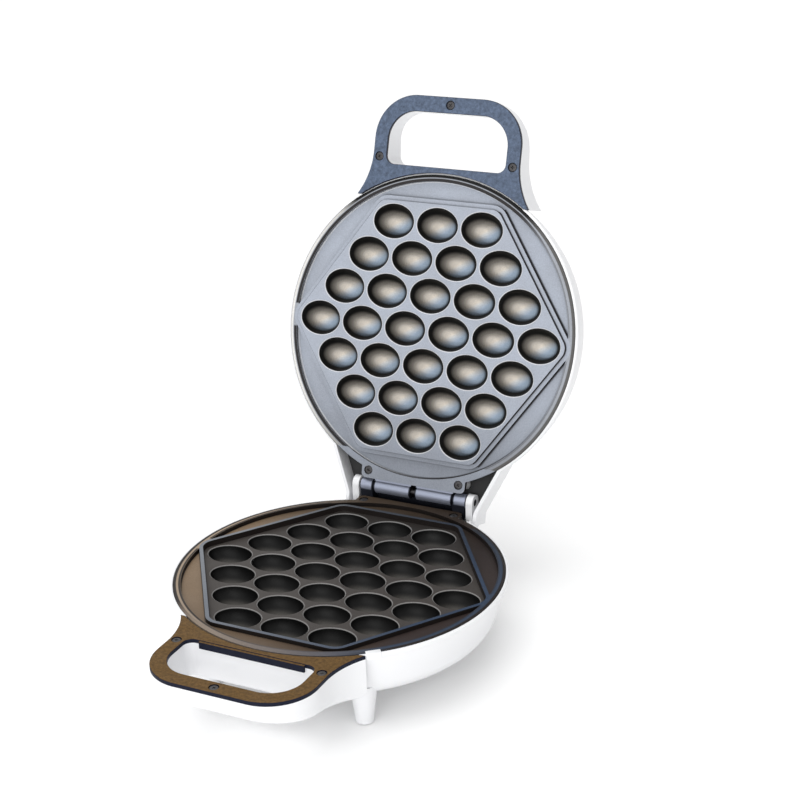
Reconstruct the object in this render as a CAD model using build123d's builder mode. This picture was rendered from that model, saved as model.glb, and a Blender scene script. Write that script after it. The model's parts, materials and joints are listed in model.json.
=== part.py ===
from build123d import *
import os
from math import cos, radians, sin, sqrt

# An electric egg waffle maker: a clamshell iron with two round plates of thirty oval bowls each.
# Millimetres, +Z up. The floor is Z = 0, the handles point to -Y and the hinge is at +Y.
# The origin is on the floor, under the centre of the open object's bounding box. The lid stands open at rest.
#
# Every piece of a half is drawn in that half's own frame: its XY plane is the parting plane,
# +Z points out of the cooking face and +Y points to the hinge. The finished piece is then
# placed by the plane of its half, base_frame or lid_frame.

# ---------------------------------------------------------------- driving dimensions

# the two halves
foot_height = 18.0              # floor to the underside of the base
base_depth = 37.0               # underside of the base to the parting plane
lid_depth = 40.0                # parting plane to the top of the lid
open_angle = 107.3              # how far the lid swings from closed to its stop
face_gap = 0.3                  # rim of each plate to the parting plane
plate_centre_y = -22.8033       # puts the origin under the centre of the open object

# waffle plates
plate_radius = 106.9
rim_width = 4.8
rim_thickness = 2.7             # outer flange that rests on the housing's ledge
rim_to_segment = 2.8            # drop from the rim to the low segments
web_thickness = 3.2             # casting thickness between the bowls
bowl_pitch = 33.0               # bowl to bowl along a row
row_pitch = 24.2                # row to row
row_counts = (3, 4, 5, 6, 5, 4, 3)
bowl_length = 30.7
bowl_width = 23.9
bowl_wall = 1.1
bowl_edge_radius = 0.6          # width of the broken edge round a bowl's mouth
bevel_egg_radius = 20.0         # curve of that broken edge
step_edge_radius = 0.4
dam_end_reach = 90.0            # centre to the outer line of the dam's front and rear sides
dam_side_reach = 88.1           # centre to the outer line of its four slanted sides
dam_width = 2.5
dam_corner_radius = 12.0
base_web_drop = 4.1             # parting plane down to the lower plate's web
lid_web_rise = 1.5              # how far the upper plate's web stands past the parting plane
nesting_clearance = 0.6         # raised web of the lid to the dam of the base
tab_half_width = 39.5           # tab that carries the hinge leaf
tab_rear = 107.5
tab_thickness = 3.0
tab_corner_radius = 3.5
tab_screw_x = 34.5
tab_screw_y = 102.0

# housings
shell_wall = 2.4
lip_height = 3.2                # proud band round the mouth of each housing
lip_overhang = 1.6              # how far the band stands out from the wall below it
lip_edge_chamfer = 0.6
rim_clearance = 0.3             # plate flange to the band, all round
mouth_gap = 0.6                 # band to the parting plane
base_wall_draft = 8.8           # how far the wall leans in from the band to the bottom corner
base_corner_radius = 16.0
lid_wall_draft = 5.0
lid_corner_radius = 19.0

# handles
handle_reach = 159.5            # centre to the front edge
handle_half_width = 54.3
handle_corner_radius = 30.0
handle_straight_start = 120.0   # where the side starts to flare towards the body
handle_root_x = 64.0
handle_root_y = 89.0
handle_front_depth = 14.5       # parting plane to the handle's underside, at its front
handle_root_depth = 30.5        # the same, where it meets the body
handle_edge_radius = 6.0
handle_hollow_radius = 110.0    # the hollow of a handle starts this far from the centre
cover_thickness = 2.5
cover_gap = 1.0                 # dark gap between a plate and its handle cover
cover_edge_radius = 0.5
window_half_width = 44.5
window_rear = 111.5
window_front = 148.5
window_rear_radius = 6.0
window_front_radius = 20.0
skirt_half_width = 36.0         # skirt of the cover along the window's rear edge
skirt_height = 2.4
skirt_thickness = 1.4
skirt_clearance = 0.2
cover_screw_side_x = 49.6
cover_screw_side_y = 116.1
cover_screw_front_y = 154.0

# hinge
hinge_y = 113.0
hinge_rise = 6.3                # axis above the parting plane of the base
pin_radius = 2.5
pin_clearance = 0.06
knuckle_radius = 4.8
lid_knuckle_start = 2.0
lid_knuckle_end = 30.0
knuckle_gap = 0.8
base_knuckle_end = 40.0
leaf_thickness = 2.0
leaf_half_width = 38.0
leaf_rear = 106.0               # rear edge of a leaf beside its knuckles
leaf_casting_clearance = 0.3    # curved front edge of a leaf to the casting
leaf_knuckle_clearance = 0.6    # lower leaf to the lid's turning knuckles
ear_inner = 41.2
ear_outer = 46.0
ear_radius = 5.6
ear_root_drop = 14.0            # parting plane down to an ear's root
clip_radius = 4.2
clip_thickness = 0.7
clip_groove_depth = 0.4
clip_mouth = 3.0
clip_clearance = 0.15           # groove to clip, on each side

# tails of the housings, round the hinge
lid_tail_half_width = 50.0
lid_tail_rear = 128.0
lid_tail_depth = 22.0
lid_tail_root_x = 66.0
lid_tail_root_y = 84.0
lid_tail_waist_y = 120.0
lid_tail_waist_radius = 8.0
lid_tail_edge_radius = 4.0
base_tail_depth = 33.0
base_tail_top = 5.5             # parting plane down to the top of the tail's walls
base_tail_opening = 92.0        # the band and ledge of the base end here, in front of the tail
base_tail_side_gap = 0.6        # side of the tail to the end of the band
base_tail_corner_radius = 7.0
base_tail_edge_radius = 3.0
stop_gap = 0.3                  # open lid to its stop on the base's tail

# feet
front_foot_x = 54.5
front_foot_y = -75.5
rear_foot_x = 34.0
rear_foot_y = 106.0
foot_top_radius = 8.6
foot_bottom_radius = 5.8
foot_root = 9.0                 # how deep a foot's root reaches into the housing's corner
pad_radius = 4.2
pad_thickness = 2.4
pad_stand_out = 0.8
pad_chamfer = 0.4

# heating
heater_radius = 3.2
heater_bowl_clearance = 0.3     # heating tube to the backs of the bowls
heater_bend_shift = 2.5         # bends sit this far past the end bowls
heater_end_x = 82.0
pin_contact_radius = 1.2
pin_contact_length = 6.0
shield_radius = 94.0
shield_thickness = 0.8
shield_flange = 3.2
shield_gap = 0.3                # heating tube to the shield under it
shield_notch_radius = 5.5
post_radius = 4.0
post_x = 24.75
post_y = 60.5

# fasteners
screw_radius = 1.5
screw_length = 9.0
short_screw_length = 6.0
screw_hole_spare = 0.5          # depth of a blind hole past the end of its screw
screw_head_radius = 2.9
screw_head_height = 1.3
screw_head_sink = 0.3           # head below the surface that it is sunk in
screw_drive_width = 0.8
screw_drive_depth = 0.7
thread_clearance = 0.05
shank_clearance = 0.25
head_clearance = 0.3
boss_radius = 4.2
tab_boss_radius = 3.7
boss_shoulder = 1.8             # extra radius of the seat round the lid's tab bosses

# electrics
thermostat_radius = 8.0
thermostat_height = 6.0
thermostat_x = -30.0
blade_width = 6.3
blade_thickness = 0.8
blade_length = 5.0
fuse_radius = 2.6
fuse_length = 24.0
fuse_x = 30.0
strap_width = 8.0
strap_thickness = 0.6
strap_tab = 5.0
terminal_block_length = 34.0
terminal_block_width = 14.0
terminal_block_height = 9.0
terminal_block_y = 66.0
terminal_spacing = 10.0
terminal_screw_count = 3
terminal_screw_length = 4.0
terminal_tunnel_radius = 2.2
gland_drop = 23.5               # parting plane down to the cord entry
gland_bore_radius = 3.4
gland_neck_radius = 5.4
gland_flange_radius = 7.4
gland_flange_thickness = 2.2
gland_length = 13.0
gland_clearance = 0.1
gland_ring_radius = 6.6         # ring that holds the gland behind the wall
gland_ring_thickness = 1.6
lamp_spacing = 26.0
lamp_y = -72.0
lamp_radius = 4.0
lamp_rise = 0.8
lamp_flange = 1.4
lamp_flange_thickness = 1.2
lamp_clearance = 0.1
lamp_body_radius = 3.0
lamp_body_length = 9.0
lamp_board_thickness = 1.6
lamp_board_width = 14.0
lamp_board_screw_x = 26.0
lamp_board_end = 5.0            # board past its screws
board_boss_radius = 3.4

# upper inner cover round the hinge
tail_cover_height = 12.8        # parting plane up to the cover's lower face
tail_cover_thickness = 1.5
tail_cover_front = 86.0
tail_cover_rear = 114.0
tail_cover_clearance = 0.4
tail_cover_shield_gap = 1.5

# ---------------------------------------------------------------- derived sizes and frames

parting_height = foot_height + base_depth
rim_inner_radius = plate_radius - rim_width
rim_top = -face_gap
rim_bottom = rim_top - rim_thickness
segment_top = rim_top - rim_to_segment
tab_bottom = rim_top - tab_thickness
casting_radius = rim_inner_radius + bowl_wall
lip_inner_radius = plate_radius + rim_clearance
lip_outer_radius = lip_inner_radius + lip_overhang
lip_top = -mouth_gap
lip_bottom = lip_top - lip_height
cover_top = rim_top
cover_bottom = cover_top - cover_thickness
cover_inner_radius = plate_radius + cover_gap
screw_pilot_radius = screw_radius + thread_clearance
screw_hole_radius = screw_radius + shank_clearance
head_pocket_radius = screw_head_radius + head_clearance
head_seat_depth = screw_head_height + screw_head_sink
bore_radius = pin_radius + pin_clearance
leaf_bottom = tab_bottom - leaf_thickness
hood_floor = lid_tail_depth - shell_wall

turn = radians(open_angle)
base_tail_rear = hinge_y + (lid_tail_rear - hinge_y) * cos(turn) + (hood_floor - hinge_rise) * sin(turn) - stop_gap

base_frame = Plane(origin=(0, plate_centre_y, parting_height), x_dir=(1, 0, 0), z_dir=(0, 0, 1))
lid_origin_y = plate_centre_y + hinge_y - hinge_y * cos(turn) - hinge_rise * sin(turn)
lid_origin_z = parting_height + hinge_rise + hinge_y * sin(turn) - hinge_rise * cos(turn)
lid_frame = Plane(origin=(0, lid_origin_y, lid_origin_z), x_dir=(-1, 0, 0), z_dir=(0, -sin(turn), -cos(turn)))

cover_screw_points = (
    (-cover_screw_side_x, -cover_screw_side_y),
    (cover_screw_side_x, -cover_screw_side_y),
    (0, -cover_screw_front_y),
)
tab_screw_points = ((-tab_screw_x, tab_screw_y), (tab_screw_x, tab_screw_y))
post_points = ((-post_x, -post_y), (post_x, -post_y), (-post_x, post_y), (post_x, post_y))
lamp_points = ((-lamp_spacing / 2, lamp_y), (lamp_spacing / 2, lamp_y))
board_screw_points = ((-lamp_board_screw_x, lamp_y), (lamp_board_screw_x, lamp_y))
far = 400.0                     # longer than the whole object, for cuts that run right through

os.makedirs("parts", exist_ok=True)


def write(part, name, frame=Plane.XY):
    """Place a finished piece by the frame of its half, label it and write its STEP file."""
    placed = frame.from_local_coords(part)
    placed.label = name
    export_step(placed, f"parts/{name}.step")


# ---------------------------------------------------------------- outlines

def handle_outline(grow=0.0):
    """Outline of a handle and its root, closed by a straight line across the round body."""
    with BuildSketch() as outline:
        with BuildLine():
            front = Line((0, -handle_reach), (handle_half_width - handle_corner_radius, -handle_reach))
            corner = JernArc(front @ 1, front % 1, handle_corner_radius, 90)
            side = Line(corner @ 1, (handle_half_width, -handle_straight_start))
            flare = TangentArc(side @ 1, (handle_root_x, -handle_root_y), tangent=side % 1)
            Line(flare @ 1, (0, -handle_root_y))
            mirror(about=Plane.YZ)
        make_face()
        if grow:
            offset(amount=grow)
    return outline.sketch


def window_outline(grow=0.0):
    """Outline of the finger opening in a handle."""
    with BuildSketch() as outline:
        with Locations((0, -(window_rear + window_front) / 2)):
            Rectangle(2 * window_half_width, window_front - window_rear)
        fillet(outline.vertices().group_by(Axis.Y)[0], window_front_radius)
        fillet(outline.vertices().group_by(Axis.Y)[-1], window_rear_radius)
        if grow:
            offset(amount=grow)
    return outline.sketch


def hexagon_outline(shrink=0.0):
    """Hexagon round the bowls; its slanted sides run along the rows' ends."""
    slant_length = sqrt((bowl_pitch / 2) ** 2 + row_pitch ** 2)
    normal_x = row_pitch / slant_length
    normal_y = bowl_pitch / 2 / slant_length
    side_x = dam_side_reach / normal_x
    end_x = (dam_side_reach - dam_end_reach * normal_y) / normal_x
    with BuildSketch() as outline:
        with BuildLine():
            Polyline(
                (side_x, 0), (end_x, dam_end_reach), (-end_x, dam_end_reach),
                (-side_x, 0), (-end_x, -dam_end_reach), (end_x, -dam_end_reach), close=True,
            )
        make_face()
        fillet(outline.vertices(), dam_corner_radius)
        if shrink:
            offset(amount=-shrink)
    return outline.sketch


def tab_outline():
    """Outline of the tab behind a plate, as far forward as the plate's centre."""
    with BuildSketch() as outline:
        with Locations((0, tab_rear / 2)):
            Rectangle(2 * tab_half_width, tab_rear)
        fillet(outline.vertices().group_by(Axis.Y)[-1], tab_corner_radius)
    return outline.sketch


def lid_tail_outline(grow=0.0):
    """Outline of the lid's tail, which narrows from the round body to the hinge."""
    with BuildSketch() as outline:
        with BuildLine():
            Polyline(
                (-lid_tail_half_width, lid_tail_rear), (-lid_tail_half_width, lid_tail_waist_y),
                (-lid_tail_root_x, lid_tail_root_y), (lid_tail_root_x, lid_tail_root_y),
                (lid_tail_half_width, lid_tail_waist_y), (lid_tail_half_width, lid_tail_rear), close=True,
            )
        make_face()
        fillet(outline.vertices().group_by(Axis.Y)[1], lid_tail_waist_radius)
        if grow:
            offset(amount=grow)
    return outline.sketch


def base_tail_outline(grow=0.0):
    """Outline of the base's tail, a block between the lid's tail walls."""
    with BuildSketch() as outline:
        with Locations((0, (hinge_y - far / 8 + base_tail_rear) / 2)):
            Rectangle(2 * ear_outer, base_tail_rear - hinge_y + far / 8)
        fillet(outline.vertices().group_by(Axis.Y)[-1], base_tail_corner_radius)
        if grow:
            offset(amount=grow)
    return outline.sketch


def bowl_points():
    """Centres of the thirty bowls, row by row from the handle to the hinge."""
    middle_row = (len(row_counts) - 1) / 2
    points = []
    for row, count in enumerate(row_counts):
        for place in range(count):
            points.append(((place - (count - 1) / 2) * bowl_pitch, (row - middle_row) * row_pitch))
    return points


# ---------------------------------------------------------------- waffle plates

def half_spheroid(length, width):
    """The lower half of an egg, long along X, hanging from the XY plane."""
    with BuildPart() as egg:
        with BuildSketch():
            Ellipse(length / 2, width / 2)
            split(bisect_by=Plane.XZ)
        revolve(axis=Axis.X, revolution_arc=180)
    return egg.part


def bowl_bevel():
    """The shallow cap of a wider egg, which breaks the edge of a bowl's mouth."""
    mouth_width = bowl_width / 2 + bowl_edge_radius
    mouth_length = bowl_length / 2 + bowl_edge_radius
    lift = sqrt(bevel_egg_radius ** 2 - mouth_width ** 2)
    with BuildPart() as cap:
        with Locations((0, 0, lift)):
            add(half_spheroid(2 * bevel_egg_radius * mouth_length / mouth_width, 2 * bevel_egg_radius))
        split(bisect_by=Plane.XY, keep=Keep.BOTTOM)
    return cap.part


def bowls(level):
    """A place for each of the thirty bowls, at one height."""
    return Locations(*[(x, y, level) for x, y in bowl_points()])


def heater_level(web):
    """Height of the heating tube, which lies in the valleys between the backs of two rows of bowls."""
    reach = bowl_width / 2 + bowl_wall + heater_radius + heater_bowl_clearance
    return web - sqrt(reach ** 2 - (row_pitch / 2) ** 2)


def shield_level(web):
    """Height of the heat shield's upper face."""
    return heater_level(web) - heater_radius - shield_gap


def waffle_plate(web):
    """Cast plate: rim, low segments, bowls, hinge tab and the posts that carry the heat shield."""
    raised = web > rim_top
    underside = segment_top - web_thickness if raised else web - web_thickness
    shrink = dam_width + nesting_clearance if raised else dam_width
    with BuildPart() as plate:
        with BuildSketch(Plane.XY.offset(underside)):
            Circle(casting_radius)
        extrude(amount=segment_top - underside)
        with BuildSketch(Plane.XY.offset(rim_bottom)):
            Circle(plate_radius)
            Circle(rim_inner_radius, mode=Mode.SUBTRACT)
        extrude(amount=rim_thickness)
        with BuildSketch(Plane.XY.offset(tab_bottom)):
            add(tab_outline())
            Circle(rim_inner_radius, mode=Mode.SUBTRACT)
        extrude(amount=tab_thickness)
        with BuildSketch(Plane.XY.offset(segment_top)):
            add(hexagon_outline())
            Circle(rim_inner_radius + rim_width / 2, mode=Mode.INTERSECT)
        extrude(amount=rim_to_segment)
        if raised:
            with BuildSketch(Plane.XY.offset(rim_top)):
                add(hexagon_outline(shrink))
            extrude(amount=web - rim_top)
            with BuildSketch(Plane.XY.offset(web - web_thickness)):
                add(hexagon_outline(shrink + web_thickness))
            extrude(amount=underside - web + web_thickness, mode=Mode.SUBTRACT)
        else:
            with BuildSketch(Plane.XY.offset(web)):
                add(hexagon_outline(shrink))
            extrude(amount=rim_top - web, mode=Mode.SUBTRACT)
        outer_rim = plate.edges().filter_by(GeomType.CIRCLE).filter_by(
            lambda edge: abs(edge.radius - plate_radius) < 0.01 and abs(edge.center().Z - rim_top) < 0.01
        )
        fillet(outer_rim, step_edge_radius)
        with bowls(web):
            add(half_spheroid(bowl_length + 2 * bowl_wall, bowl_width + 2 * bowl_wall))
        with BuildSketch(Plane.XY.offset(shield_level(web))):
            with Locations(*post_points):
                Circle(post_radius)
        extrude(amount=web - web_thickness / 2 - shield_level(web))
        with bowls(web):
            add(half_spheroid(bowl_length, bowl_width), mode=Mode.SUBTRACT)
            add(bowl_bevel(), mode=Mode.SUBTRACT)
        with Locations(*[(x, y, rim_top) for x, y in tab_screw_points]):
            CounterBoreHole(screw_hole_radius, head_pocket_radius, head_seat_depth, tab_thickness)
        with Locations(*[(x, y, shield_level(web)) for x, y in post_points]):
            Cylinder(screw_pilot_radius, 2 * short_screw_length, mode=Mode.SUBTRACT)
    return plate.part


# ---------------------------------------------------------------- heating

def heater(web):
    """Tube heating element that winds through four valleys between the rows of bowls."""
    level = heater_level(web)
    bend = row_pitch / 2
    long_end = 2.5 * bowl_pitch + heater_bend_shift
    short_end = 2 * bowl_pitch + heater_bend_shift
    with BuildPart() as element:
        with BuildLine(Plane.XY.offset(level)) as path:
            Line((-heater_end_x, 3 * bend), (short_end, 3 * bend))
            CenterArc((short_end, 2 * bend), bend, 90, -180)
            Line((short_end, bend), (-long_end, bend))
            CenterArc((-long_end, 0), bend, 90, 180)
            Line((-long_end, -bend), (short_end, -bend))
            CenterArc((short_end, -2 * bend), bend, 90, -180)
            Line((short_end, -3 * bend), (-heater_end_x, -3 * bend))
        with BuildSketch(Plane(origin=(-heater_end_x, 3 * bend, level), z_dir=(1, 0, 0))):
            Circle(heater_radius)
        sweep(path=path.wires()[0])
        with BuildSketch(Plane(origin=(-heater_end_x, 0, level), x_dir=(0, 1, 0), z_dir=(-1, 0, 0))):
            with Locations((-3 * bend, 0), (3 * bend, 0)):
                Circle(pin_contact_radius)
        extrude(amount=pin_contact_length)
    return element.part


def heat_shield(web):
    """Pressed sheet under the heating tube, held on the plate's posts, with notches for the contacts."""
    top = shield_level(web)
    with BuildPart() as shield:
        with BuildSketch(Plane.XY.offset(top)):
            Circle(shield_radius)
        extrude(amount=-shield_thickness - shield_flange)
        with BuildSketch(Plane.XY.offset(top - shield_thickness)):
            Circle(shield_radius - shield_thickness)
        extrude(amount=-shield_flange, mode=Mode.SUBTRACT)
        with BuildSketch(Plane.XY.offset(top)):
            with Locations(*post_points):
                Circle(screw_hole_radius)
            with Locations((-heater_end_x - pin_contact_length, -1.5 * row_pitch),
                           (-heater_end_x - pin_contact_length, 1.5 * row_pitch)):
                Circle(shield_notch_radius)
        extrude(amount=-shield_thickness - shield_flange, mode=Mode.SUBTRACT)
    return shield.part


# ---------------------------------------------------------------- fasteners

def screws(points, seat, length, head_up=True):
    """Cross-head screws at some points; the underside of each head lies at the seat's height."""
    with BuildPart() as screw:
        Cylinder(screw_head_radius, screw_head_height, align=(Align.CENTER, Align.CENTER, Align.MIN))
        fillet(screw.edges().group_by(Axis.Z)[-1], screw_head_height / 2)
        Cylinder(screw_radius, length, align=(Align.CENTER, Align.CENTER, Align.MAX))
        with Locations((0, 0, screw_head_height)):
            drive = (Align.CENTER, Align.CENTER, Align.MAX)
            Box(2 * screw_radius, screw_drive_width, screw_drive_depth, align=drive, mode=Mode.SUBTRACT)
            Box(screw_drive_width, 2 * screw_radius, screw_drive_depth, align=drive, mode=Mode.SUBTRACT)
    turned = screw.part if head_up else screw.part.rotate(Axis.X, 180)
    with BuildPart() as group:
        with Locations(*[(x, y, seat) for x, y in points]):
            add(turned)
    return group.part


# ---------------------------------------------------------------- handle covers

def handle_cover(skirted):
    """Flat cover of a handle, with sunk screws and, if asked, a skirt down the rear edge of the window."""
    with BuildPart() as cover:
        with BuildSketch(Plane.XY.offset(cover_bottom)):
            add(handle_outline())
            Circle(cover_inner_radius, mode=Mode.SUBTRACT)
            add(window_outline(), mode=Mode.SUBTRACT)
        extrude(amount=cover_thickness)
        fillet(cover.edges().group_by(Axis.Z)[-1], cover_edge_radius)
        if skirted:
            with BuildSketch(Plane.XY.offset(cover_top - cover_edge_radius)):
                with Locations((0, -window_rear)):
                    Rectangle(2 * skirt_half_width, skirt_clearance + skirt_thickness, align=(Align.CENTER, Align.MAX))
            extrude(amount=-cover_thickness + cover_edge_radius)
            with BuildSketch(Plane.XY.offset(cover_bottom)):
                with Locations((0, -window_rear - skirt_clearance)):
                    Rectangle(2 * skirt_half_width, skirt_thickness, align=(Align.CENTER, Align.MAX))
            extrude(amount=-skirt_height)
        with Locations(*[(x, y, cover_top) for x, y in cover_screw_points]):
            CounterBoreHole(screw_hole_radius, head_pocket_radius, head_seat_depth, cover_thickness)
    return cover.part


# ---------------------------------------------------------------- housings

def cup(depth, draft, corner_radius, inside=False):
    """Round housing as a solid block, or the hollow to be cut from it."""
    wall = shell_wall if inside else 0.0
    slope = draft / (depth + lip_bottom)
    floor_radius = lip_inner_radius - draft - wall + slope * wall
    with BuildPart() as block:
        with BuildSketch(Plane.XZ) as profile:
            with BuildLine():
                if inside:
                    Polyline(
                        (0, -depth + wall), (floor_radius, -depth + wall), (lip_inner_radius - wall, lip_bottom),
                        (lip_inner_radius - wall, rim_bottom), (lip_inner_radius, rim_bottom),
                        (lip_inner_radius, lip_top), (0, lip_top), close=True,
                    )
                else:
                    Polyline(
                        (0, -depth), (floor_radius, -depth), (lip_inner_radius, lip_bottom),
                        (lip_outer_radius, lip_bottom), (lip_outer_radius, lip_top), (0, lip_top), close=True,
                    )
            make_face()
            corner = profile.vertices().sort_by_distance((floor_radius, -depth + wall, 0))[0]
            fillet(corner, corner_radius - wall)
            if not inside:
                band = profile.vertices().group_by(Axis.X)[-1]
                chamfer(band, lip_edge_chamfer)
        revolve(axis=Axis.Z)
    return block.part


def grip(inside=False):
    """Handle of a housing as a solid block with a sloping underside, or the hollow to be cut from it."""
    wall = shell_wall if inside else 0.0
    front_depth = handle_front_depth - wall
    root_depth = handle_root_depth - wall
    with BuildPart() as block:
        with BuildSketch(Plane.XY.offset(cover_bottom)):
            add(handle_outline(-wall))
        extrude(amount=-root_depth - cover_bottom)
        with BuildSketch(Plane.YZ):
            with BuildLine():
                Polyline(
                    (-handle_reach, -front_depth), (-handle_root_y, -root_depth),
                    (-handle_reach, -root_depth), close=True,
                )
            make_face()
        extrude(amount=far, both=True, mode=Mode.SUBTRACT)
        underside = block.faces().sort_by(Axis.Z)[0]
        fillet(underside.edges(), handle_edge_radius - wall)
        if inside:
            with BuildSketch():
                Circle(handle_hollow_radius)
                add(window_outline(shell_wall))
                with Locations(*cover_screw_points):
                    Circle(boss_radius)
            extrude(amount=-far, mode=Mode.SUBTRACT)
    return block.part


def base_tail(inside=False):
    """Tail of the base as a solid block, or the hollow to be cut from it, which is open at the top."""
    wall = shell_wall if inside else 0.0
    top = 0.0 if inside else -base_tail_top
    with BuildPart() as block:
        with BuildSketch(Plane.XY.offset(top)):
            add(base_tail_outline(-wall))
            if inside:
                Rectangle(far, 2 * lid_tail_root_y, mode=Mode.SUBTRACT)
        extrude(amount=wall - base_tail_depth - top)
        if not inside:
            fillet(block.faces().sort_by(Axis.Z)[0].edges(), base_tail_edge_radius)
    return block.part


def lid_tail(inside=False):
    """Tail of the lid as a solid block, or the hollow to be cut from it, which is open at the rear."""
    wall = shell_wall if inside else 0.0
    with BuildPart() as block:
        with BuildSketch(Plane.XY.offset(lip_top)):
            add(lid_tail_outline(-wall))
            if inside:
                with Locations((0, lid_tail_rear)):
                    Rectangle(2 * (lid_tail_half_width - wall), 4 * wall)
        extrude(amount=wall - lid_tail_depth - lip_top)
        if not inside:
            fillet(block.faces().sort_by(Axis.Z)[0].edges(), lid_tail_edge_radius)
    return block.part


def posts(points, radius, bottom, top):
    """Round posts between two heights, which also serve as the solids of drilled holes."""
    with BuildPart() as group:
        with BuildSketch(Plane.XY.offset(bottom)):
            with Locations(*points):
                Circle(radius)
        extrude(amount=top - bottom)
    return group.part


def foot(x, y, top):
    """Tapered foot with a recess for its pad, from inside the housing down to just above the floor."""
    bottom = pad_stand_out - parting_height
    with BuildPart() as peg:
        with Locations((x, y, bottom)):
            Cone(foot_bottom_radius, foot_top_radius, top - bottom, align=(Align.CENTER, Align.CENTER, Align.MIN))
            Cylinder(
                pad_radius, pad_thickness - pad_stand_out,
                align=(Align.CENTER, Align.CENTER, Align.MIN), mode=Mode.SUBTRACT,
            )
    return peg.part


def ear(side):
    """One of the two ears on the base that hold the ends of the hinge pin."""
    with BuildPart() as block:
        with BuildSketch(Plane.YZ.offset(side * ear_inner)):
            with Locations((hinge_y, hinge_rise)):
                Circle(ear_radius)
            with Locations((hinge_y, -ear_root_drop)):
                Rectangle(2 * ear_radius, hinge_rise + ear_root_drop, align=(Align.CENTER, Align.MIN))
            with Locations((hinge_y, hinge_rise)):
                Circle(bore_radius, mode=Mode.SUBTRACT)
        extrude(amount=side * (ear_outer - ear_inner))
    return block.part


def base_shell():
    """Lower housing: round cup, handle, tail with the two hinge ears, and four feet."""
    with BuildPart() as hollow:
        add(cup(base_depth, base_wall_draft, base_corner_radius, inside=True))
        add(base_tail(inside=True))
        add(posts(tab_screw_points, tab_boss_radius, -base_depth, leaf_bottom), mode=Mode.SUBTRACT)
    with BuildPart() as shell:
        add(cup(base_depth, base_wall_draft, base_corner_radius))
        add(grip())
        add(base_tail())
        for x in (-front_foot_x, front_foot_x):
            add(foot(x, front_foot_y, foot_root - base_depth))
        for x in (-rear_foot_x, rear_foot_x):
            add(foot(x, rear_foot_y, shell_wall - base_tail_depth))
        add(hollow.part, mode=Mode.SUBTRACT)
        add(grip(inside=True), mode=Mode.SUBTRACT)
        with BuildSketch(Plane.XY.offset(-base_tail_top)):
            with Locations((0, base_tail_opening)):
                Rectangle(2 * (ear_outer + base_tail_side_gap), far, align=(Align.CENTER, Align.MIN))
        extrude(amount=far, mode=Mode.SUBTRACT)
        with BuildSketch(Plane.XY.offset(cover_bottom)):
            add(handle_outline())
            Circle(lip_inner_radius, mode=Mode.SUBTRACT)
        extrude(amount=far, mode=Mode.SUBTRACT)
        with BuildSketch():
            add(window_outline())
        extrude(amount=-far, mode=Mode.SUBTRACT)
        seat = cover_top - head_seat_depth
        bottom = seat - screw_length - screw_hole_spare
        add(posts(cover_screw_points, screw_pilot_radius, bottom, seat), mode=Mode.SUBTRACT)
        add(posts(tab_screw_points, screw_pilot_radius, bottom, seat), mode=Mode.SUBTRACT)
        add(ear(-1))
        add(ear(1))
        with BuildSketch(Plane.XZ.offset(-base_tail_rear)):
            with Locations((0, -gland_drop)):
                Circle(gland_neck_radius + gland_clearance)
        extrude(amount=2 * shell_wall, mode=Mode.SUBTRACT)
    return shell.part


def lamp_board_top():
    """Face of the lamp board that looks at the waffle plate."""
    return shell_wall - lid_depth + lamp_flange_thickness + lamp_body_length + lamp_board_thickness


def lid_shell():
    """Upper housing: round cup, handle, hooded tail over the hinge, and holes for two lamps."""
    cover_seat = -tail_cover_height - tail_cover_thickness
    board_back = lamp_board_top() - lamp_board_thickness
    with BuildPart() as hollow:
        add(cup(lid_depth, lid_wall_draft, lid_corner_radius, inside=True))
        add(lid_tail(inside=True))
        add(posts(tab_screw_points, tab_boss_radius, -lid_depth, leaf_bottom), mode=Mode.SUBTRACT)
        add(posts(tab_screw_points, tab_boss_radius + boss_shoulder, -lid_depth, cover_seat), mode=Mode.SUBTRACT)
        add(posts(board_screw_points, board_boss_radius, -lid_depth, board_back), mode=Mode.SUBTRACT)
    with BuildPart() as shell:
        add(cup(lid_depth, lid_wall_draft, lid_corner_radius))
        add(grip())
        add(lid_tail())
        add(hollow.part, mode=Mode.SUBTRACT)
        add(grip(inside=True), mode=Mode.SUBTRACT)
        with BuildSketch(Plane.XY.offset(cover_bottom)):
            add(handle_outline())
            Circle(lip_inner_radius, mode=Mode.SUBTRACT)
        extrude(amount=far, mode=Mode.SUBTRACT)
        with BuildSketch():
            add(window_outline())
        extrude(amount=-far, mode=Mode.SUBTRACT)
        seat = cover_top - head_seat_depth
        bottom = seat - screw_length - screw_hole_spare
        add(posts(cover_screw_points, screw_pilot_radius, bottom, seat), mode=Mode.SUBTRACT)
        add(posts(tab_screw_points, screw_pilot_radius, bottom, seat), mode=Mode.SUBTRACT)
        board_hole = lamp_board_top() - short_screw_length - screw_hole_spare
        add(posts(board_screw_points, screw_pilot_radius, board_hole, lamp_board_top()), mode=Mode.SUBTRACT)
        lamp_top = shell_wall - lid_depth
        add(posts(lamp_points, lamp_radius + lamp_clearance, -lid_depth, lamp_top), mode=Mode.SUBTRACT)
    return shell.part


# ---------------------------------------------------------------- hinge

def knuckles(height, spans, root):
    """Rolled knuckles about the hinge axis, each joined to a leaf by a flat root."""
    with BuildPart() as rolls:
        for start, end in spans:
            with BuildSketch(Plane.YZ.offset(start)):
                with Locations((hinge_y, height)):
                    Circle(knuckle_radius)
                add(root)
                with Locations((hinge_y, height)):
                    Circle(bore_radius, mode=Mode.SUBTRACT)
            extrude(amount=end - start)
    return rolls.part


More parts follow.
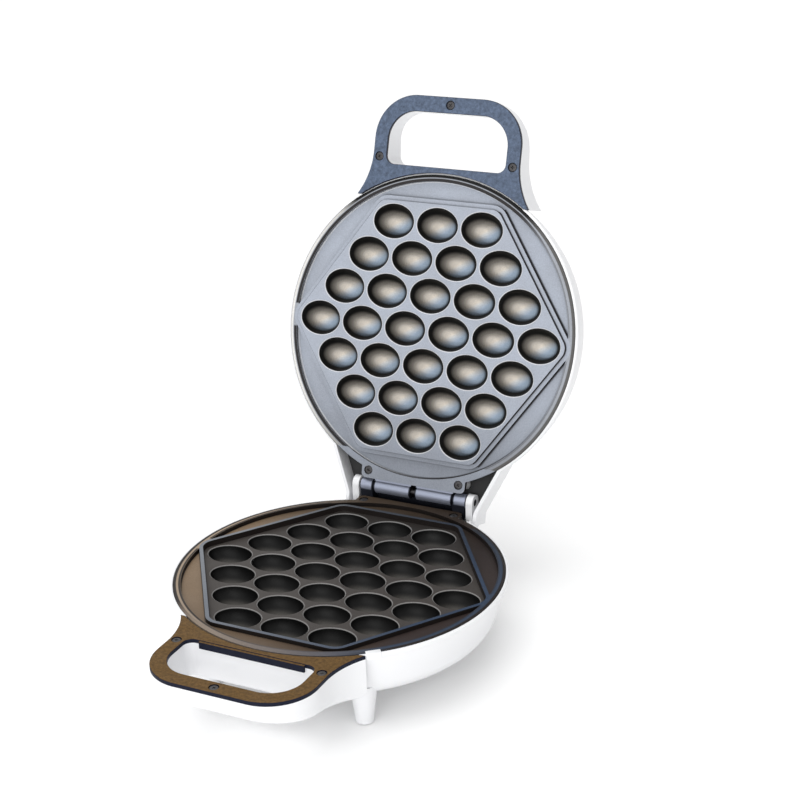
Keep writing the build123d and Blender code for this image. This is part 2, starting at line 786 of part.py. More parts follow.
def leaf_plate():
    """Flat part of a hinge leaf, under the tab of a plate, with the two screw holes."""
    with BuildPart() as plate:
        with BuildSketch(Plane.XY.offset(leaf_bottom)):
            Rectangle(2 * leaf_half_width, leaf_rear, align=(Align.CENTER, Align.MIN))
            Circle(casting_radius + leaf_casting_clearance, mode=Mode.SUBTRACT)
            with Locations(*tab_screw_points):
                Circle(screw_hole_radius, mode=Mode.SUBTRACT)
        extrude(amount=leaf_thickness)
    return plate.part


def lid_hinge_leaf():
    """Leaf on the lid's tab, with the two long knuckles."""
    spans = ((-lid_knuckle_end, -lid_knuckle_start), (lid_knuckle_start, lid_knuckle_end))
    with BuildSketch() as root:
        with Locations((leaf_rear, leaf_bottom)):
            Rectangle(hinge_y - leaf_rear, leaf_thickness, align=(Align.MIN, Align.MIN))
    with BuildPart() as leaf:
        add(leaf_plate())
        add(knuckles(-hinge_rise, spans, root.sketch))
    return leaf.part


def base_hinge_leaf():
    """Leaf under the base's tab: a shelf below the lid's knuckles, an upstand and two end knuckles."""
    shelf_rear = hinge_y + knuckle_radius
    upstand_top = hinge_rise - knuckle_radius - leaf_knuckle_clearance
    start = lid_knuckle_end + knuckle_gap
    spans = ((-base_knuckle_end, -start), (start, base_knuckle_end))
    with BuildSketch() as root:
        with Locations((hinge_y, leaf_bottom)):
            Rectangle(2 * knuckle_radius, hinge_rise - leaf_bottom, align=(Align.CENTER, Align.MIN))
    with BuildPart() as leaf:
        add(leaf_plate())
        with BuildSketch(Plane.XY.offset(leaf_bottom)):
            with Locations((0, leaf_rear)):
                Rectangle(2 * leaf_half_width, shelf_rear - leaf_rear, align=(Align.CENTER, Align.MIN))
        extrude(amount=leaf_thickness)
        with BuildSketch(Plane.XY.offset(leaf_bottom)):
            with Locations((0, shelf_rear)):
                Rectangle(2 * leaf_half_width, leaf_thickness, align=(Align.CENTER, Align.MAX))
        extrude(amount=upstand_top - leaf_bottom)
        add(knuckles(hinge_rise, spans, root.sketch))
    return leaf.part


def hinge_pin():
    """Plain pin through both ears and all the knuckles, with a groove for a clip near each end."""
    groove_middle = (ear_inner + base_knuckle_end) / 2
    with BuildPart() as pin:
        with BuildSketch(Plane.YZ.offset(-ear_outer)):
            with Locations((hinge_y, hinge_rise)):
                Circle(pin_radius)
        extrude(amount=2 * ear_outer)
        chamfer(pin.edges(), clip_groove_depth)
        for side in (-1, 1):
            with BuildSketch(Plane.YZ.offset(side * groove_middle)):
                with Locations((hinge_y, hinge_rise)):
                    Circle(2 * pin_radius)
                    Circle(pin_radius - clip_groove_depth, mode=Mode.SUBTRACT)
            extrude(amount=clip_thickness / 2 + clip_clearance, both=True, mode=Mode.SUBTRACT)
    return pin.part


def hinge_pin_clips():
    """Two open rings in the pin's grooves, between the ears and the end knuckles."""
    groove_middle = (ear_inner + base_knuckle_end) / 2
    with BuildPart() as clips:
        for side in (-1, 1):
            with BuildSketch(Plane.YZ.offset(side * groove_middle)):
                with Locations((hinge_y, hinge_rise)):
                    Circle(clip_radius)
                    Circle(pin_radius - clip_groove_depth, mode=Mode.SUBTRACT)
                    Rectangle(
                        2 * clip_radius, clip_mouth, align=(Align.MIN, Align.CENTER), mode=Mode.SUBTRACT,
                    )
            extrude(amount=clip_thickness / 2, both=True)
    return clips.part


def lid_tail_cover():
    """Flat inner cover of the lid's tail, slipped over the two bosses down to their shoulders."""
    with BuildPart() as cover:
        with BuildSketch(Plane.XY.offset(-tail_cover_height - tail_cover_thickness)):
            add(lid_tail_outline(-shell_wall - tail_cover_clearance))
            with Locations((0, (tail_cover_front + tail_cover_rear) / 2)):
                Rectangle(far, tail_cover_rear - tail_cover_front, mode=Mode.INTERSECT)
            Circle(shield_radius + tail_cover_shield_gap, mode=Mode.SUBTRACT)
            with Locations(*tab_screw_points):
                Circle(tab_boss_radius + tail_cover_clearance, mode=Mode.SUBTRACT)
        extrude(amount=tail_cover_thickness)
    return cover.part


# ---------------------------------------------------------------- feet and electrics

def foot_pad(x, y):
    """Soft pad pressed into the end of a foot."""
    with BuildPart() as pad:
        with Locations((x, y, -parting_height)):
            Cylinder(pad_radius, pad_thickness, align=(Align.CENTER, Align.CENTER, Align.MIN))
        chamfer(pad.edges().group_by(Axis.Z)[0], pad_chamfer)
    return pad.part


def cord_gland():
    """Bush in the tail's rear wall that the mains lead runs through."""
    with BuildPart() as gland:
        with BuildSketch(Plane.XZ.offset(-base_tail_rear - gland_flange_thickness)):
            with Locations((0, -gland_drop)):
                Circle(gland_neck_radius)
        extrude(amount=gland_length)
        with BuildSketch(Plane.XZ.offset(-base_tail_rear - gland_flange_thickness)):
            with Locations((0, -gland_drop)):
                Circle(gland_flange_radius)
        extrude(amount=gland_flange_thickness)
        fillet(gland.edges().group_by(Axis.Y)[-1], gland_flange_thickness / 2)
        with BuildSketch(Plane.XZ.offset(shell_wall - base_tail_rear)):
            with Locations((0, -gland_drop)):
                Circle(gland_ring_radius)
        extrude(amount=gland_ring_thickness)
        with BuildSketch(Plane.XZ.offset(-base_tail_rear - gland_flange_thickness)):
            with Locations((0, -gland_drop)):
                Circle(gland_bore_radius)
        extrude(amount=gland_length, mode=Mode.SUBTRACT)
    return gland.part


def thermostat(shield_back):
    """Round bimetal switch on the heat shield, with two blade terminals."""
    with BuildPart() as switch:
        with Locations((thermostat_x, 0, shield_back)):
            Cylinder(thermostat_radius, thermostat_height, align=(Align.CENTER, Align.CENTER, Align.MAX))
        with Locations(
            (thermostat_x, -thermostat_radius / 2, shield_back - thermostat_height),
            (thermostat_x, thermostat_radius / 2, shield_back - thermostat_height),
        ):
            Box(blade_width, blade_thickness, blade_length, align=(Align.CENTER, Align.CENTER, Align.MAX))
    return switch.part


def thermal_fuse(shield_back):
    """Round fuse that lies along Y against the heat shield."""
    with BuildPart() as fuse:
        with BuildSketch(Plane.XZ.offset(-fuse_length / 2)):
            with Locations((fuse_x, shield_back - fuse_radius)):
                Circle(fuse_radius)
        extrude(amount=fuse_length)
    return fuse.part


def fuse_strap(shield_back):
    """Bent strap over the middle of the fuse, with a tab on each side against the heat shield."""
    outer = fuse_radius + strap_thickness
    with BuildPart() as strap:
        with BuildSketch(Plane.XZ.offset(-strap_width / 2)):
            with Locations((fuse_x, shield_back - fuse_radius)):
                Circle(outer)
            with Locations((fuse_x, shield_back)):
                Rectangle(2 * outer, fuse_radius, align=(Align.CENTER, Align.MAX))
                Rectangle(2 * (outer + strap_tab), strap_thickness, align=(Align.CENTER, Align.MAX))
                Rectangle(far, fuse_radius, align=(Align.CENTER, Align.MIN), mode=Mode.SUBTRACT)
            with Locations((fuse_x, shield_back - fuse_radius)):
                Circle(fuse_radius, mode=Mode.SUBTRACT)
            with Locations((fuse_x, shield_back)):
                Rectangle(2 * fuse_radius, fuse_radius, align=(Align.CENTER, Align.MAX), mode=Mode.SUBTRACT)
        extrude(amount=strap_width)
    return strap.part


def terminal_points():
    """Centres of the terminal screws along the block."""
    first = -(terminal_screw_count - 1) / 2 * terminal_spacing
    return [(first + place * terminal_spacing, terminal_block_y) for place in range(terminal_screw_count)]


def terminal_block():
    """Block on the base's floor with a row of screws over tunnels for the leads."""
    floor = shell_wall - base_depth
    top = floor + terminal_block_height
    with BuildPart() as block:
        with Locations((0, terminal_block_y, floor)):
            Box(
                terminal_block_length, terminal_block_width, terminal_block_height,
                align=(Align.CENTER, Align.CENTER, Align.MIN),
            )
        chamfer(block.edges().filter_by(Axis.Z), pad_chamfer)
        with BuildSketch(Plane.XZ.offset(-terminal_block_y)):
            with Locations(*[(x, floor + terminal_block_height / 2) for x, y in terminal_points()]):
                Circle(terminal_tunnel_radius)
        extrude(amount=terminal_block_width, both=True, mode=Mode.SUBTRACT)
        pocket_floor = top - head_seat_depth
        add(posts(terminal_points(), head_pocket_radius, pocket_floor, top), mode=Mode.SUBTRACT)
        hole_end = pocket_floor - terminal_screw_length
        add(posts(terminal_points(), screw_pilot_radius, hole_end, pocket_floor), mode=Mode.SUBTRACT)
    return block.part


def lamp_lens(point):
    """Round lens that stands a little out of the lid, held by its flange inside."""
    x, y = point
    with BuildPart() as lens:
        with Locations((x, y, -lid_depth - lamp_rise)):
            Cylinder(lamp_radius, shell_wall + lamp_rise, align=(Align.CENTER, Align.CENTER, Align.MIN))
        fillet(lens.edges().group_by(Axis.Z)[0], lamp_rise / 2)
        with Locations((x, y, shell_wall - lid_depth)):
            Cylinder(
                lamp_radius + lamp_flange, lamp_flange_thickness, align=(Align.CENTER, Align.CENTER, Align.MIN),
            )
    return lens.part


def lamp_bodies():
    """Two small lamps between the lenses and their board."""
    start = shell_wall - lid_depth + lamp_flange_thickness
    return posts(lamp_points, lamp_body_radius, start, start + lamp_body_length)


def lamp_board():
    """Narrow board that carries the lamps, screwed to two bosses of the lid."""
    with BuildPart() as board:
        with BuildSketch(Plane.XY.offset(lamp_board_top() - lamp_board_thickness)):
            with Locations((0, lamp_y)):
                Rectangle(2 * (lamp_board_screw_x + lamp_board_end), lamp_board_width)
            with Locations(*board_screw_points):
                Circle(screw_hole_radius, mode=Mode.SUBTRACT)
        extrude(amount=lamp_board_thickness)
    return board.part


# ---------------------------------------------------------------- the lower half

base_web = -base_web_drop
base_shield_back = shield_level(base_web) - shield_thickness
screw_seat = cover_top - head_seat_depth
terminal_seat = shell_wall - base_depth + terminal_block_height - head_seat_depth

with BuildPart() as lower_housing:
    add(base_shell())
write(lower_housing.part, "base_shell", base_frame)

with BuildPart() as lower_cover:
    add(handle_cover(skirted=True))
write(lower_cover.part, "base_handle_cover", base_frame)

with BuildPart() as lower_plate:
    add(waffle_plate(base_web))
write(lower_plate.part, "base_plate", base_frame)

with BuildPart() as lower_heater:
    add(heater(base_web))
write(lower_heater.part, "base_heater", base_frame)

with BuildPart() as lower_shield:
    add(heat_shield(base_web))
write(lower_shield.part, "base_heat_shield", base_frame)

with BuildPart() as lower_shield_screws:
    add(screws(post_points, base_shield_back, short_screw_length, head_up=False))
write(lower_shield_screws.part, "base_shield_screws", base_frame)

with BuildPart() as lower_plate_screws:
    add(screws(tab_screw_points, screw_seat, screw_length))
write(lower_plate_screws.part, "base_plate_screws", base_frame)

with BuildPart() as lower_handle_screws:
    add(screws(cover_screw_points, screw_seat, screw_length))
write(lower_handle_screws.part, "base_handle_screws", base_frame)

with BuildPart() as lower_leaf:
    add(base_hinge_leaf())
write(lower_leaf.part, "base_hinge_leaf", base_frame)

with BuildPart() as pin:
    add(hinge_pin())
write(pin.part, "hinge_pin", base_frame)

with BuildPart() as clips:
    add(hinge_pin_clips())
write(clips.part, "hinge_pin_clips", base_frame)

for end, x, y in (
    ("front_left", -front_foot_x, front_foot_y),
    ("front_right", front_foot_x, front_foot_y),
    ("rear_left", -rear_foot_x, rear_foot_y),
    ("rear_right", rear_foot_x, rear_foot_y),
):
    with BuildPart() as pad:
        add(foot_pad(x, y))
    write(pad.part, f"foot_pad_{end}", base_frame)

with BuildPart() as gland:
    add(cord_gland())
write(gland.part, "cord_gland", base_frame)

with BuildPart() as switch:
    add(thermostat(base_shield_back))
write(switch.part, "thermostat", base_frame)

with BuildPart() as fuse:
    add(thermal_fuse(base_shield_back))
write(fuse.part, "thermal_fuse", base_frame)

with BuildPart() as strap:
    add(fuse_strap(base_shield_back))
write(strap.part, "fuse_strap", base_frame)

with BuildPart() as block:
    add(terminal_block())
write(block.part, "terminal_block", base_frame)

with BuildPart() as block_screws:
    add(screws(terminal_points(), terminal_seat, terminal_screw_length))
write(block_screws.part, "terminal_screws", base_frame)


# ---------------------------------------------------------------- the lid

lid_web = lid_web_rise
lid_shield_back = shield_level(lid_web) - shield_thickness

with BuildPart() as upper_housing:
    add(lid_shell())
write(upper_housing.part, "lid_shell", lid_frame)

with BuildPart() as upper_cover:
    add(handle_cover(skirted=False))
write(upper_cover.part, "lid_handle_cover", lid_frame)

with BuildPart() as upper_plate:
    add(waffle_plate(lid_web))
write(upper_plate.part, "lid_plate", lid_frame)

with BuildPart() as upper_heater:
    add(heater(lid_web))
write(upper_heater.part, "lid_heater", lid_frame)

with BuildPart() as upper_shield:
    add(heat_shield(lid_web))
write(upper_shield.part, "lid_heat_shield", lid_frame)

with BuildPart() as upper_shield_screws:
    add(screws(post_points, lid_shield_back, short_screw_length, head_up=False))
write(upper_shield_screws.part, "lid_shield_screws", lid_frame)

with BuildPart() as upper_plate_screws:
    add(screws(tab_screw_points, screw_seat, screw_length))
write(upper_plate_screws.part, "lid_plate_screws", lid_frame)

with BuildPart() as upper_handle_screws:
    add(screws(cover_screw_points, screw_seat, screw_length))
write(upper_handle_screws.part, "lid_handle_screws", lid_frame)

with BuildPart() as upper_leaf:
    add(lid_hinge_leaf())
write(upper_leaf.part, "lid_hinge_leaf", lid_frame)

with BuildPart() as tail_cover:
    add(lid_tail_cover())
write(tail_cover.part, "lid_tail_cover", lid_frame)

for name, point in zip(("power_lamp_lens", "ready_lamp_lens"), lamp_points):
    with BuildPart() as lens:
        add(lamp_lens(point))
    write(lens.part, name, lid_frame)

with BuildPart() as lamps:
    add(lamp_bodies())
write(lamps.part, "lamp_bodies", lid_frame)

with BuildPart() as board:
    add(lamp_board())
write(board.part, "lamp_board", lid_frame)

with BuildPart() as board_screws:
    add(screws(board_screw_points, lamp_board_top(), short_screw_length))
write(board_screws.part, "lamp_board_screws", lid_frame)
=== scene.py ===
"""Dresses the packed egg waffle maker: finishes for its CAD pieces, detailed small parts, floor and light."""

import json
import math
from types import SimpleNamespace

import bpy
from mathutils import Matrix, Vector


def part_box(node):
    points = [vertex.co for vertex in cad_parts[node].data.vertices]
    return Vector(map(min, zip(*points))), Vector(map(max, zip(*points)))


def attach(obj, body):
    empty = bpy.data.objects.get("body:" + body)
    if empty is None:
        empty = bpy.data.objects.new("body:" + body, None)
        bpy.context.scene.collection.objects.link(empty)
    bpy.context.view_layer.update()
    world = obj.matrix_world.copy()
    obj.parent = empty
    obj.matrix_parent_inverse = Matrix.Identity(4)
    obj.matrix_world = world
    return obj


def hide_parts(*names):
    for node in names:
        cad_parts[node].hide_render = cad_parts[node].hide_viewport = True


bl_info = {
    "name": "Egg Waffle Maker",
    "version": (1, 0, 0),
    "blender": (4, 5, 0),
    "location": "View3D > Sidebar > Waffle",
    "description": "Finishes and small parts of a clamshell egg waffle maker",
    "category": "Object",
}

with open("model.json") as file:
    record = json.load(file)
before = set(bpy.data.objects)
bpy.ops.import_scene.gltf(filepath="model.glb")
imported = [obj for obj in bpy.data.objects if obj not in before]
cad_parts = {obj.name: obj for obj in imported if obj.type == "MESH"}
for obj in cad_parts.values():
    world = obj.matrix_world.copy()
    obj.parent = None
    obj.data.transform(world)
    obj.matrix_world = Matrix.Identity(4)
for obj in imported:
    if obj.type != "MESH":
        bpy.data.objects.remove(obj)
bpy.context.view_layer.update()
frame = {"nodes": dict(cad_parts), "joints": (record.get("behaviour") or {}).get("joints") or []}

NODES = frame["nodes"]
HINGE = frame["joints"][0]
HINGE_POINT = Vector(HINGE["pos_m"])
OPEN_ANGLE = math.radians(HINGE["range_deg"][1])
FACE_GAP = 0.0003  # rim of a plate to the parting plane
HINGE_DISTANCE = 0.113  # hinge axis to the centre of the plates
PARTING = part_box("base_plate")[1].z + FACE_GAP
CENTRE = Vector((0, HINGE_POINT.y - HINGE_DISTANCE, 0))

BASE_FRAME = Matrix.Translation(CENTRE + Vector((0, 0, PARTING)))
CLOSED_LID = BASE_FRAME @ Matrix.Rotation(math.pi, 4, "Y")
LID_FRAME = (
    Matrix.Translation(HINGE_POINT)
    @ Matrix.Rotation(-OPEN_ANGLE, 4, "X")
    @ Matrix.Translation(-HINGE_POINT)
    @ CLOSED_LID
)

# Sizes that the painted patterns of the plates and the hinge follow, each in the frame of its half.
SIDE_X, SIDE_Y = 0.8262, 0.5633  # outward direction of the hexagon's slanted sides
TAB_LINE = 0.088  # behind it the rim of a plate runs into its rear tab
THIN_LINE = 0.0009  # width of the step line where little of the step is seen
LINE_BREAK = (0.0075, 0.0085)  # half length of the break in the step line at the side corners
TONE_SIDES = (-0.09, 0.07)  # from the tone of one side to that of the other; on the base's plate a painted light on the left and a painted shade on the right
SEEN_SIDE, SEEN_FRONT = (-0.02, 0.05), (-0.06, -0.085)  # where the step comes into sight
REAR_SHADE = (0.03, 0.095)  # where a plate darkens towards its rear
END_SLOPE, END_REACH = 0.64, 0.058  # line beyond which the dam's ends get less painted shade in their corners
FLATS_BELOW, FOOT_BELOW = -0.002, -0.0017  # just above the flats, just above the foot of the step
KNUCKLE_EDGE = (0.0048, 0.0052)  # a knuckle ends and its leaf begins, from the hinge axis
LEAF_JOINT = 0.0304  # where two knuckles meet, from the middle of the hinge

# Small parts.
LUG_TURN = math.radians(-51.5)  # where the lug stands on the lip
LUG_SINK = 0.00005  # top of the lug to the parting plane
SOLID_REACH = 0.008  # points of a screw lie closer together than this, seen from above
SIDES = 48  # sides of a turned piece

# Lamps and camera.
KEY_FROM, KEY_SPREAD = (-0.2, 0.05, 1.0), 60
FRONT_FROM, FRONT_AIM, FRONT_SIZE = (0.4, -2.5, 0.7), (0, 0, 0.12), 2.4
CAMERA_PLACE = Vector((0.48431, CENTRE.y - 0.86857, 0.57316))
AZIMUTH, ELEVATION, ROLL = math.radians(26.68), math.radians(22.0), math.radians(-2.0)


# ------------------------------------------------------------------ properties

def colour(name, description, default):
    return bpy.props.FloatVectorProperty(
        name=name, description=description, default=default, subtype="COLOR", size=3, min=0, max=1
    )


def length(name, description, default):
    return bpy.props.FloatProperty(name=name, description=description, default=default, unit="LENGTH", min=0)


def share(name, description, default, top=1.0):
    return bpy.props.FloatProperty(
        name=name, description=description, default=default, min=0, max=top, subtype="FACTOR"
    )


class HousingFinish(bpy.types.PropertyGroup):
    """Moulded housings."""

    plastic: colour("Plastic", "Colour of both housings", (0.84, 0.845, 0.86))
    shade: colour("Shade", "Slightly deeper tone in the clouding of the plastic", (0.82, 0.825, 0.843))
    roughness: share("Roughness", "Gloss of the housings", 0.34)


class PlateFinish(bpy.types.PropertyGroup):
    """Coated castings with their bowls."""

    upper_flat: colour("Upper flat", "Coating of the lid's plate between the bowls", (0.41, 0.445, 0.515))
    upper_edge: colour("Upper edge", "Lit side of the outer edge of the lid's plate", (0.80, 0.79, 0.77))
    shaded_edge: colour("Shaded edge", "Shaded side of the outer edge of the lid's plate", (0.11, 0.108, 0.105))
    upper_rim: colour("Upper rim", "Coating of the rim of the lid's plate", (0.36, 0.38, 0.42))
    # The base's coating is browned; its lighter left is painted light and its near-black right is painted shade.
    lower_flat_painted_light: colour("Lower left", "Browned coating on the left of the base's plate", (0.225, 0.158, 0.100))
    lower_flat_painted_shade: colour("Lower right", "Browned coating on the right of the base's plate", (0.033, 0.023, 0.021))
    # Rim of the base: lighter on the left as painted light, dark blue on the right as painted shade.
    rim_painted_light: colour("Rim left", "Coating of the base's rim on the left", (0.35, 0.27, 0.195))
    rim_painted_shade: colour("Rim right", "Coating of the base's rim on the right", (0.032, 0.048, 0.080))
    # Dam of the base: pale blue-grey on the left as a painted reflection, dark on the right as painted shade.
    dam_painted_reflection: colour("Dam left", "Coating of the base's dam on the left", (0.20, 0.215, 0.24))
    dam_painted_shade: colour("Dam right", "Coating of the base's dam on the right", (0.030, 0.048, 0.085))
    lower_web: colour("Lower web", "Coating between the bowls of the base's plate", (0.055, 0.048, 0.044))
    # Painted shade: black up the steep walls of the bowls and along the front of the lid plate's outer edge.
    painted_black_shade: colour("Bowl wall", "Baked coating on the steep walls of the bowls", (0.001, 0.001, 0.001))
    # Painted highlight: warm tone of the pale spot towards the floors of the bowls; the bowl tint is the cooler
    # painted highlight beside it.
    painted_bowl_highlight: colour("Bowl floor", "Coating at the bottom of the bowls", (1.0, 0.92, 0.81))
    bowl_tint: colour("Bowl tint", "Cooler tone on the side of a bowl that faces the light", (0.64, 0.80, 1.0))
    # Painted shade: dark on the walls of the steps, along the step line, in the corners at their feet and on the
    # base plate's outer edge.
    painted_crease_shade: colour("Crease", "Residue on the walls of the steps", (0.012, 0.009, 0.008))
    sheen: share("Sheen", "How much the coating reflects", 0.18)
    step_radius: length("Step radius", "Circle of the step inside the rim", 0.1021)
    edge_radius: length("Edge radius", "Where the outer edge of a plate starts", 0.1049)
    dam_reach: length("Dam reach", "From the centre to the slanted sides of the dam's outer line", 0.0881)
    dam_end: length("Dam end", "From the centre to the front and rear sides of the dam's outer line", 0.0900)
    dam_corner: length("Dam corner", "Radius of the corners of that line", 0.0120)


class CoverFinish(bpy.types.PropertyGroup):
    """Handle covers."""

    upper: colour("Upper cover", "Face of the lid's handle cover", (0.085, 0.115, 0.175))
    lower: colour("Lower cover", "Face of the base's handle cover", (0.118, 0.066, 0.021))
    # Painted shade on the sides and skirt of the covers.
    edge: colour("Edge", "Sides and skirt of the covers", (0.008, 0.010, 0.022))
    upper_sheen: share("Upper sheen", "How much the lid's cover reflects", 0.25)
    lower_sheen: share("Lower sheen", "How much the base's cover reflects", 0.1)


class MetalFinish(bpy.types.PropertyGroup):
    """Steel parts."""

    hinge: colour("Hinge", "Plated steel of the hinge", (0.34, 0.37, 0.46))
    leaf: colour("Leaf", "Blackened leaf of the hinge", (0.012, 0.014, 0.022))
    screw: colour("Screws", "Dark plated screws", (0.060, 0.058, 0.060))
    tube: colour("Heating tube", "Oxidised heating tube", (0.09, 0.08, 0.075))
    shield: colour("Heat shield", "Rolled aluminium sheet", (0.55, 0.55, 0.54))


class ScrewSize(bpy.types.PropertyGroup):
    """Cross-head screws."""

    head_radius: length("Head radius", "Radius of a head", 0.0029)
    head_height: length("Head height", "Height of a head", 0.0013)
    shank_radius: length("Shank radius", "Radius of a shank", 0.0015)
    shank_length: length("Shank length", "Length under the head", 0.009)
    recess_width: length("Recess width", "Width of one slot of the cross", 0.0009)
    recess_depth: length("Recess depth", "Depth of the cross", 0.0009)


class SmallParts(bpy.types.PropertyGroup):
    """Foot pads, cord bush, lamp lenses and the lip's lug."""

    pad_radius: length("Pad radius", "Radius of a foot pad", 0.0042)
    pad_thickness: length("Pad thickness", "Thickness of a foot pad", 0.0024)
    pad_groove: length("Pad groove", "Depth of the groove under a foot pad", 0.00035)
    bush_bore: length("Bush bore", "Radius of the hole through the cord bush", 0.0034)
    bush_neck: length("Bush neck", "Radius of the neck in the housing's wall", 0.0054)
    bush_flange: length("Bush flange", "Radius of the flange outside", 0.0074)
    bush_length: length("Bush length", "Length of the cord bush", 0.013)
    lens_radius: length("Lens radius", "Radius of a lamp lens", 0.0040)
    lens_rise: length("Lens rise", "How far a lens stands out of the lid", 0.0008)
    lens_depth: length("Lens depth", "From the outer face of a lens to its flange", 0.0032)
    lug_inner: length("Lug inner", "From the plate's centre to the inner face of the lug", 0.1046)
    lug_outer: length("Lug outer", "From the plate's centre to the outer face of the lug", 0.1093)
    lug_width: length("Lug width", "Width of the lug along the lip", 0.0093)
    lug_height: length("Lug height", "Height of the lug", 0.0042)


class StageSettings(bpy.types.PropertyGroup):
    """Floor, lamps and camera."""

    floor: colour("Floor", "Colour of the floor", (0.93, 0.93, 0.93))
    glow: share("Glow", "Light that the floor adds of its own, seen by the camera", 0.10)
    sky: share("Sky", "Strength of the light from all round", 0.53, 4.0)
    key: bpy.props.FloatProperty(name="Key lamp", description="Strength of the lamp overhead", default=1.5, min=0)
    fill: bpy.props.FloatProperty(name="Front lamp", description="Power of the lamp in front", default=49, min=0)
    lens: bpy.props.FloatProperty(name="Lens", description="Focal length", default=77.9, min=1, unit="CAMERA")


SETTINGS = (
    ("waffle_housing", HousingFinish),
    ("waffle_plate", PlateFinish),
    ("waffle_cover", CoverFinish),
    ("waffle_metal", MetalFinish),
    ("waffle_screw", ScrewSize),
    ("waffle_small", SmallParts),
    ("waffle_stage", StageSettings),
)


# ------------------------------------------------------------------ material nodes

class Recipe:
    """A node material that is built step by step; its patterns read Object coordinates and the object-space normal.
    """

    def __init__(self, name, roughness=0.4, metallic=0.0, place=None):
        self.material = bpy.data.materials.new(name)
        self.material.use_nodes = True
        self.tree = self.material.node_tree
        self.shader = self.tree.nodes["Principled BSDF"]
        self.shader.inputs["Roughness"].default_value = roughness
        self.shader.inputs["Metallic"].default_value = metallic
        coordinates = self.tree.nodes.new("ShaderNodeTexCoord")
        self.coordinates = coordinates
        self.object = coordinates.outputs["Object"]
        if place is not None:
            inverse = place.inverted()
            turn = self.tree.nodes.new("ShaderNodeMapping")
            turn.inputs["Location"].default_value = inverse.to_translation()
            turn.inputs["Rotation"].default_value = inverse.to_euler()
            self.tree.links.new(self.object, turn.inputs["Vector"])
            self.object = turn.outputs["Vector"]

    def set(self, **values):
        for name, value in values.items():
            self.shader.inputs[name.replace("_", " ").title().replace("Ior", "IOR")].default_value = value
        return self

    def link(self, value, socket):
        if isinstance(value, bpy.types.NodeSocket):
            self.tree.links.new(value, socket)
        else:
            socket.default_value = value

    def math(self, operation, *values):
        made = self.tree.nodes.new("ShaderNodeMath")
        made.operation = operation
        for value, socket in zip(values, made.inputs):
            self.link(value, socket)
        return made.outputs[0]

    def plus(self, first, second):
        return self.math("ADD", first, second)

    def minus(self, first, second):
        return self.math("SUBTRACT", first, second)

    def times(self, first, *others):
        for other in others:
            first = self.math("MULTIPLY", first, other)
        return first

    def over(self, value, limit):
        return self.math("GREATER_THAN", value, limit)

    def under(self, value, limit):
        return self.math("LESS_THAN", value, limit)

    def size(self, value):
        return self.math("ABSOLUTE", value)

    def reach(self, first, second):
        """Length of the diagonal over two distances."""
        return self.math("SQRT", self.plus(self.times(first, first), self.times(second, second)))

    def axes(self):
        made = self.tree.nodes.new("ShaderNodeSeparateXYZ")
        self.link(self.object, made.inputs[0])
        return made.outputs

    def facing(self, outward):
        """How far the surface faces one way of the object: 1 straight at it, 0 edge on."""
        made = self.tree.nodes.new("ShaderNodeVectorMath")
        made.operation = "DOT_PRODUCT"
        self.link(self.coordinates.outputs["Normal"], made.inputs[0])
        made.inputs[1].default_value = outward
        return made.outputs["Value"]

    def noise(self, scale, detail=4.0, roughness=0.5, stretch=None):
        vector = self.object
        if stretch is not None:
            squeeze = self.tree.nodes.new("ShaderNodeMapping")
            squeeze.inputs["Scale"].default_value = stretch
            self.link(vector, squeeze.inputs["Vector"])
            vector = squeeze.outputs["Vector"]
        made = self.tree.nodes.new("ShaderNodeTexNoise")
        made.inputs["Scale"].default_value = scale
        made.inputs["Detail"].default_value = detail
        made.inputs["Roughness"].default_value = roughness
        self.link(vector, made.inputs["Vector"])
        return made.outputs["Fac"]

    def ramp(self, factor, stops):
        made = self.tree.nodes.new("ShaderNodeValToRGB")
        band = made.color_ramp
        band.elements[0].position, band.elements[1].position = stops[0][0], stops[-1][0]
        for position, _ in stops[1:-1]:
            band.elements.new(position)
        for element, (_, tone) in zip(band.elements, stops):
            element.color = (*tone, 1) if len(tone) == 3 else tone
        self.link(factor, made.inputs["Fac"])
        return made.outputs["Color"]

    def span(self, value, low, high, start=0.0, end=1.0):
        made = self.tree.nodes.new("ShaderNodeMapRange")
        for socket, given in zip(made.inputs, (value, low, high, start, end)):
            self.link(given, socket)
        return made.outputs[0]

    def pick(self, test, first, second):
        """The second value where the test is 1, else the first."""
        made = self.tree.nodes.new("ShaderNodeMix")
        for value, socket in ((test, made.inputs[0]), (first, made.inputs[2]), (second, made.inputs[3])):
            self.link(value, socket)
        return made.outputs[0]

    def blend(self, factor, first, second, kind="MIX"):
        made = self.tree.nodes.new("ShaderNodeMix")
        made.data_type = "RGBA"
        made.blend_type = kind
        self.link(factor, made.inputs[0])
        for tone, socket in ((first, made.inputs[6]), (second, made.inputs[7])):
            self.link(tone if isinstance(tone, bpy.types.NodeSocket) else (*tone, 1), socket)
        return made.outputs[2]

    def colour(self, tone):
        self.link(tone, self.shader.inputs["Base Color"])
        return self

    def rough(self, value):
        self.link(value, self.shader.inputs["Roughness"])
        return self

    def bump(self, height, strength, distance):
        made = self.tree.nodes.new("ShaderNodeBump")
        made.inputs["Strength"].default_value = strength
        made.inputs["Distance"].default_value = distance
        self.link(height, made.inputs["Height"])
        self.link(made.outputs[0], self.shader.inputs["Normal"])
        return self


def scaled(tone, by):
    return tuple(min(1, by * part) for part in tone)


def finish_node(name, material):
    """Puts one material on a CAD node."""
    slots = NODES[name].data.materials
    slots.clear()
    slots.append(material)


def housing_plastic(finish):
    recipe = Recipe("Housing plastic", finish.roughness)
    cloud = recipe.noise(9, 3)
    recipe.colour(recipe.ramp(cloud, ((0.35, finish.shade), (0.65, finish.plastic))))
    recipe.rough(recipe.span(recipe.noise(700, 2), 0.3, 0.7, finish.roughness - 0.02, finish.roughness + 0.02))
    recipe.bump(recipe.noise(1400, 2), 0.08, 0.00003)
    return recipe.set(coat_weight=0.15, coat_roughness=0.2).material


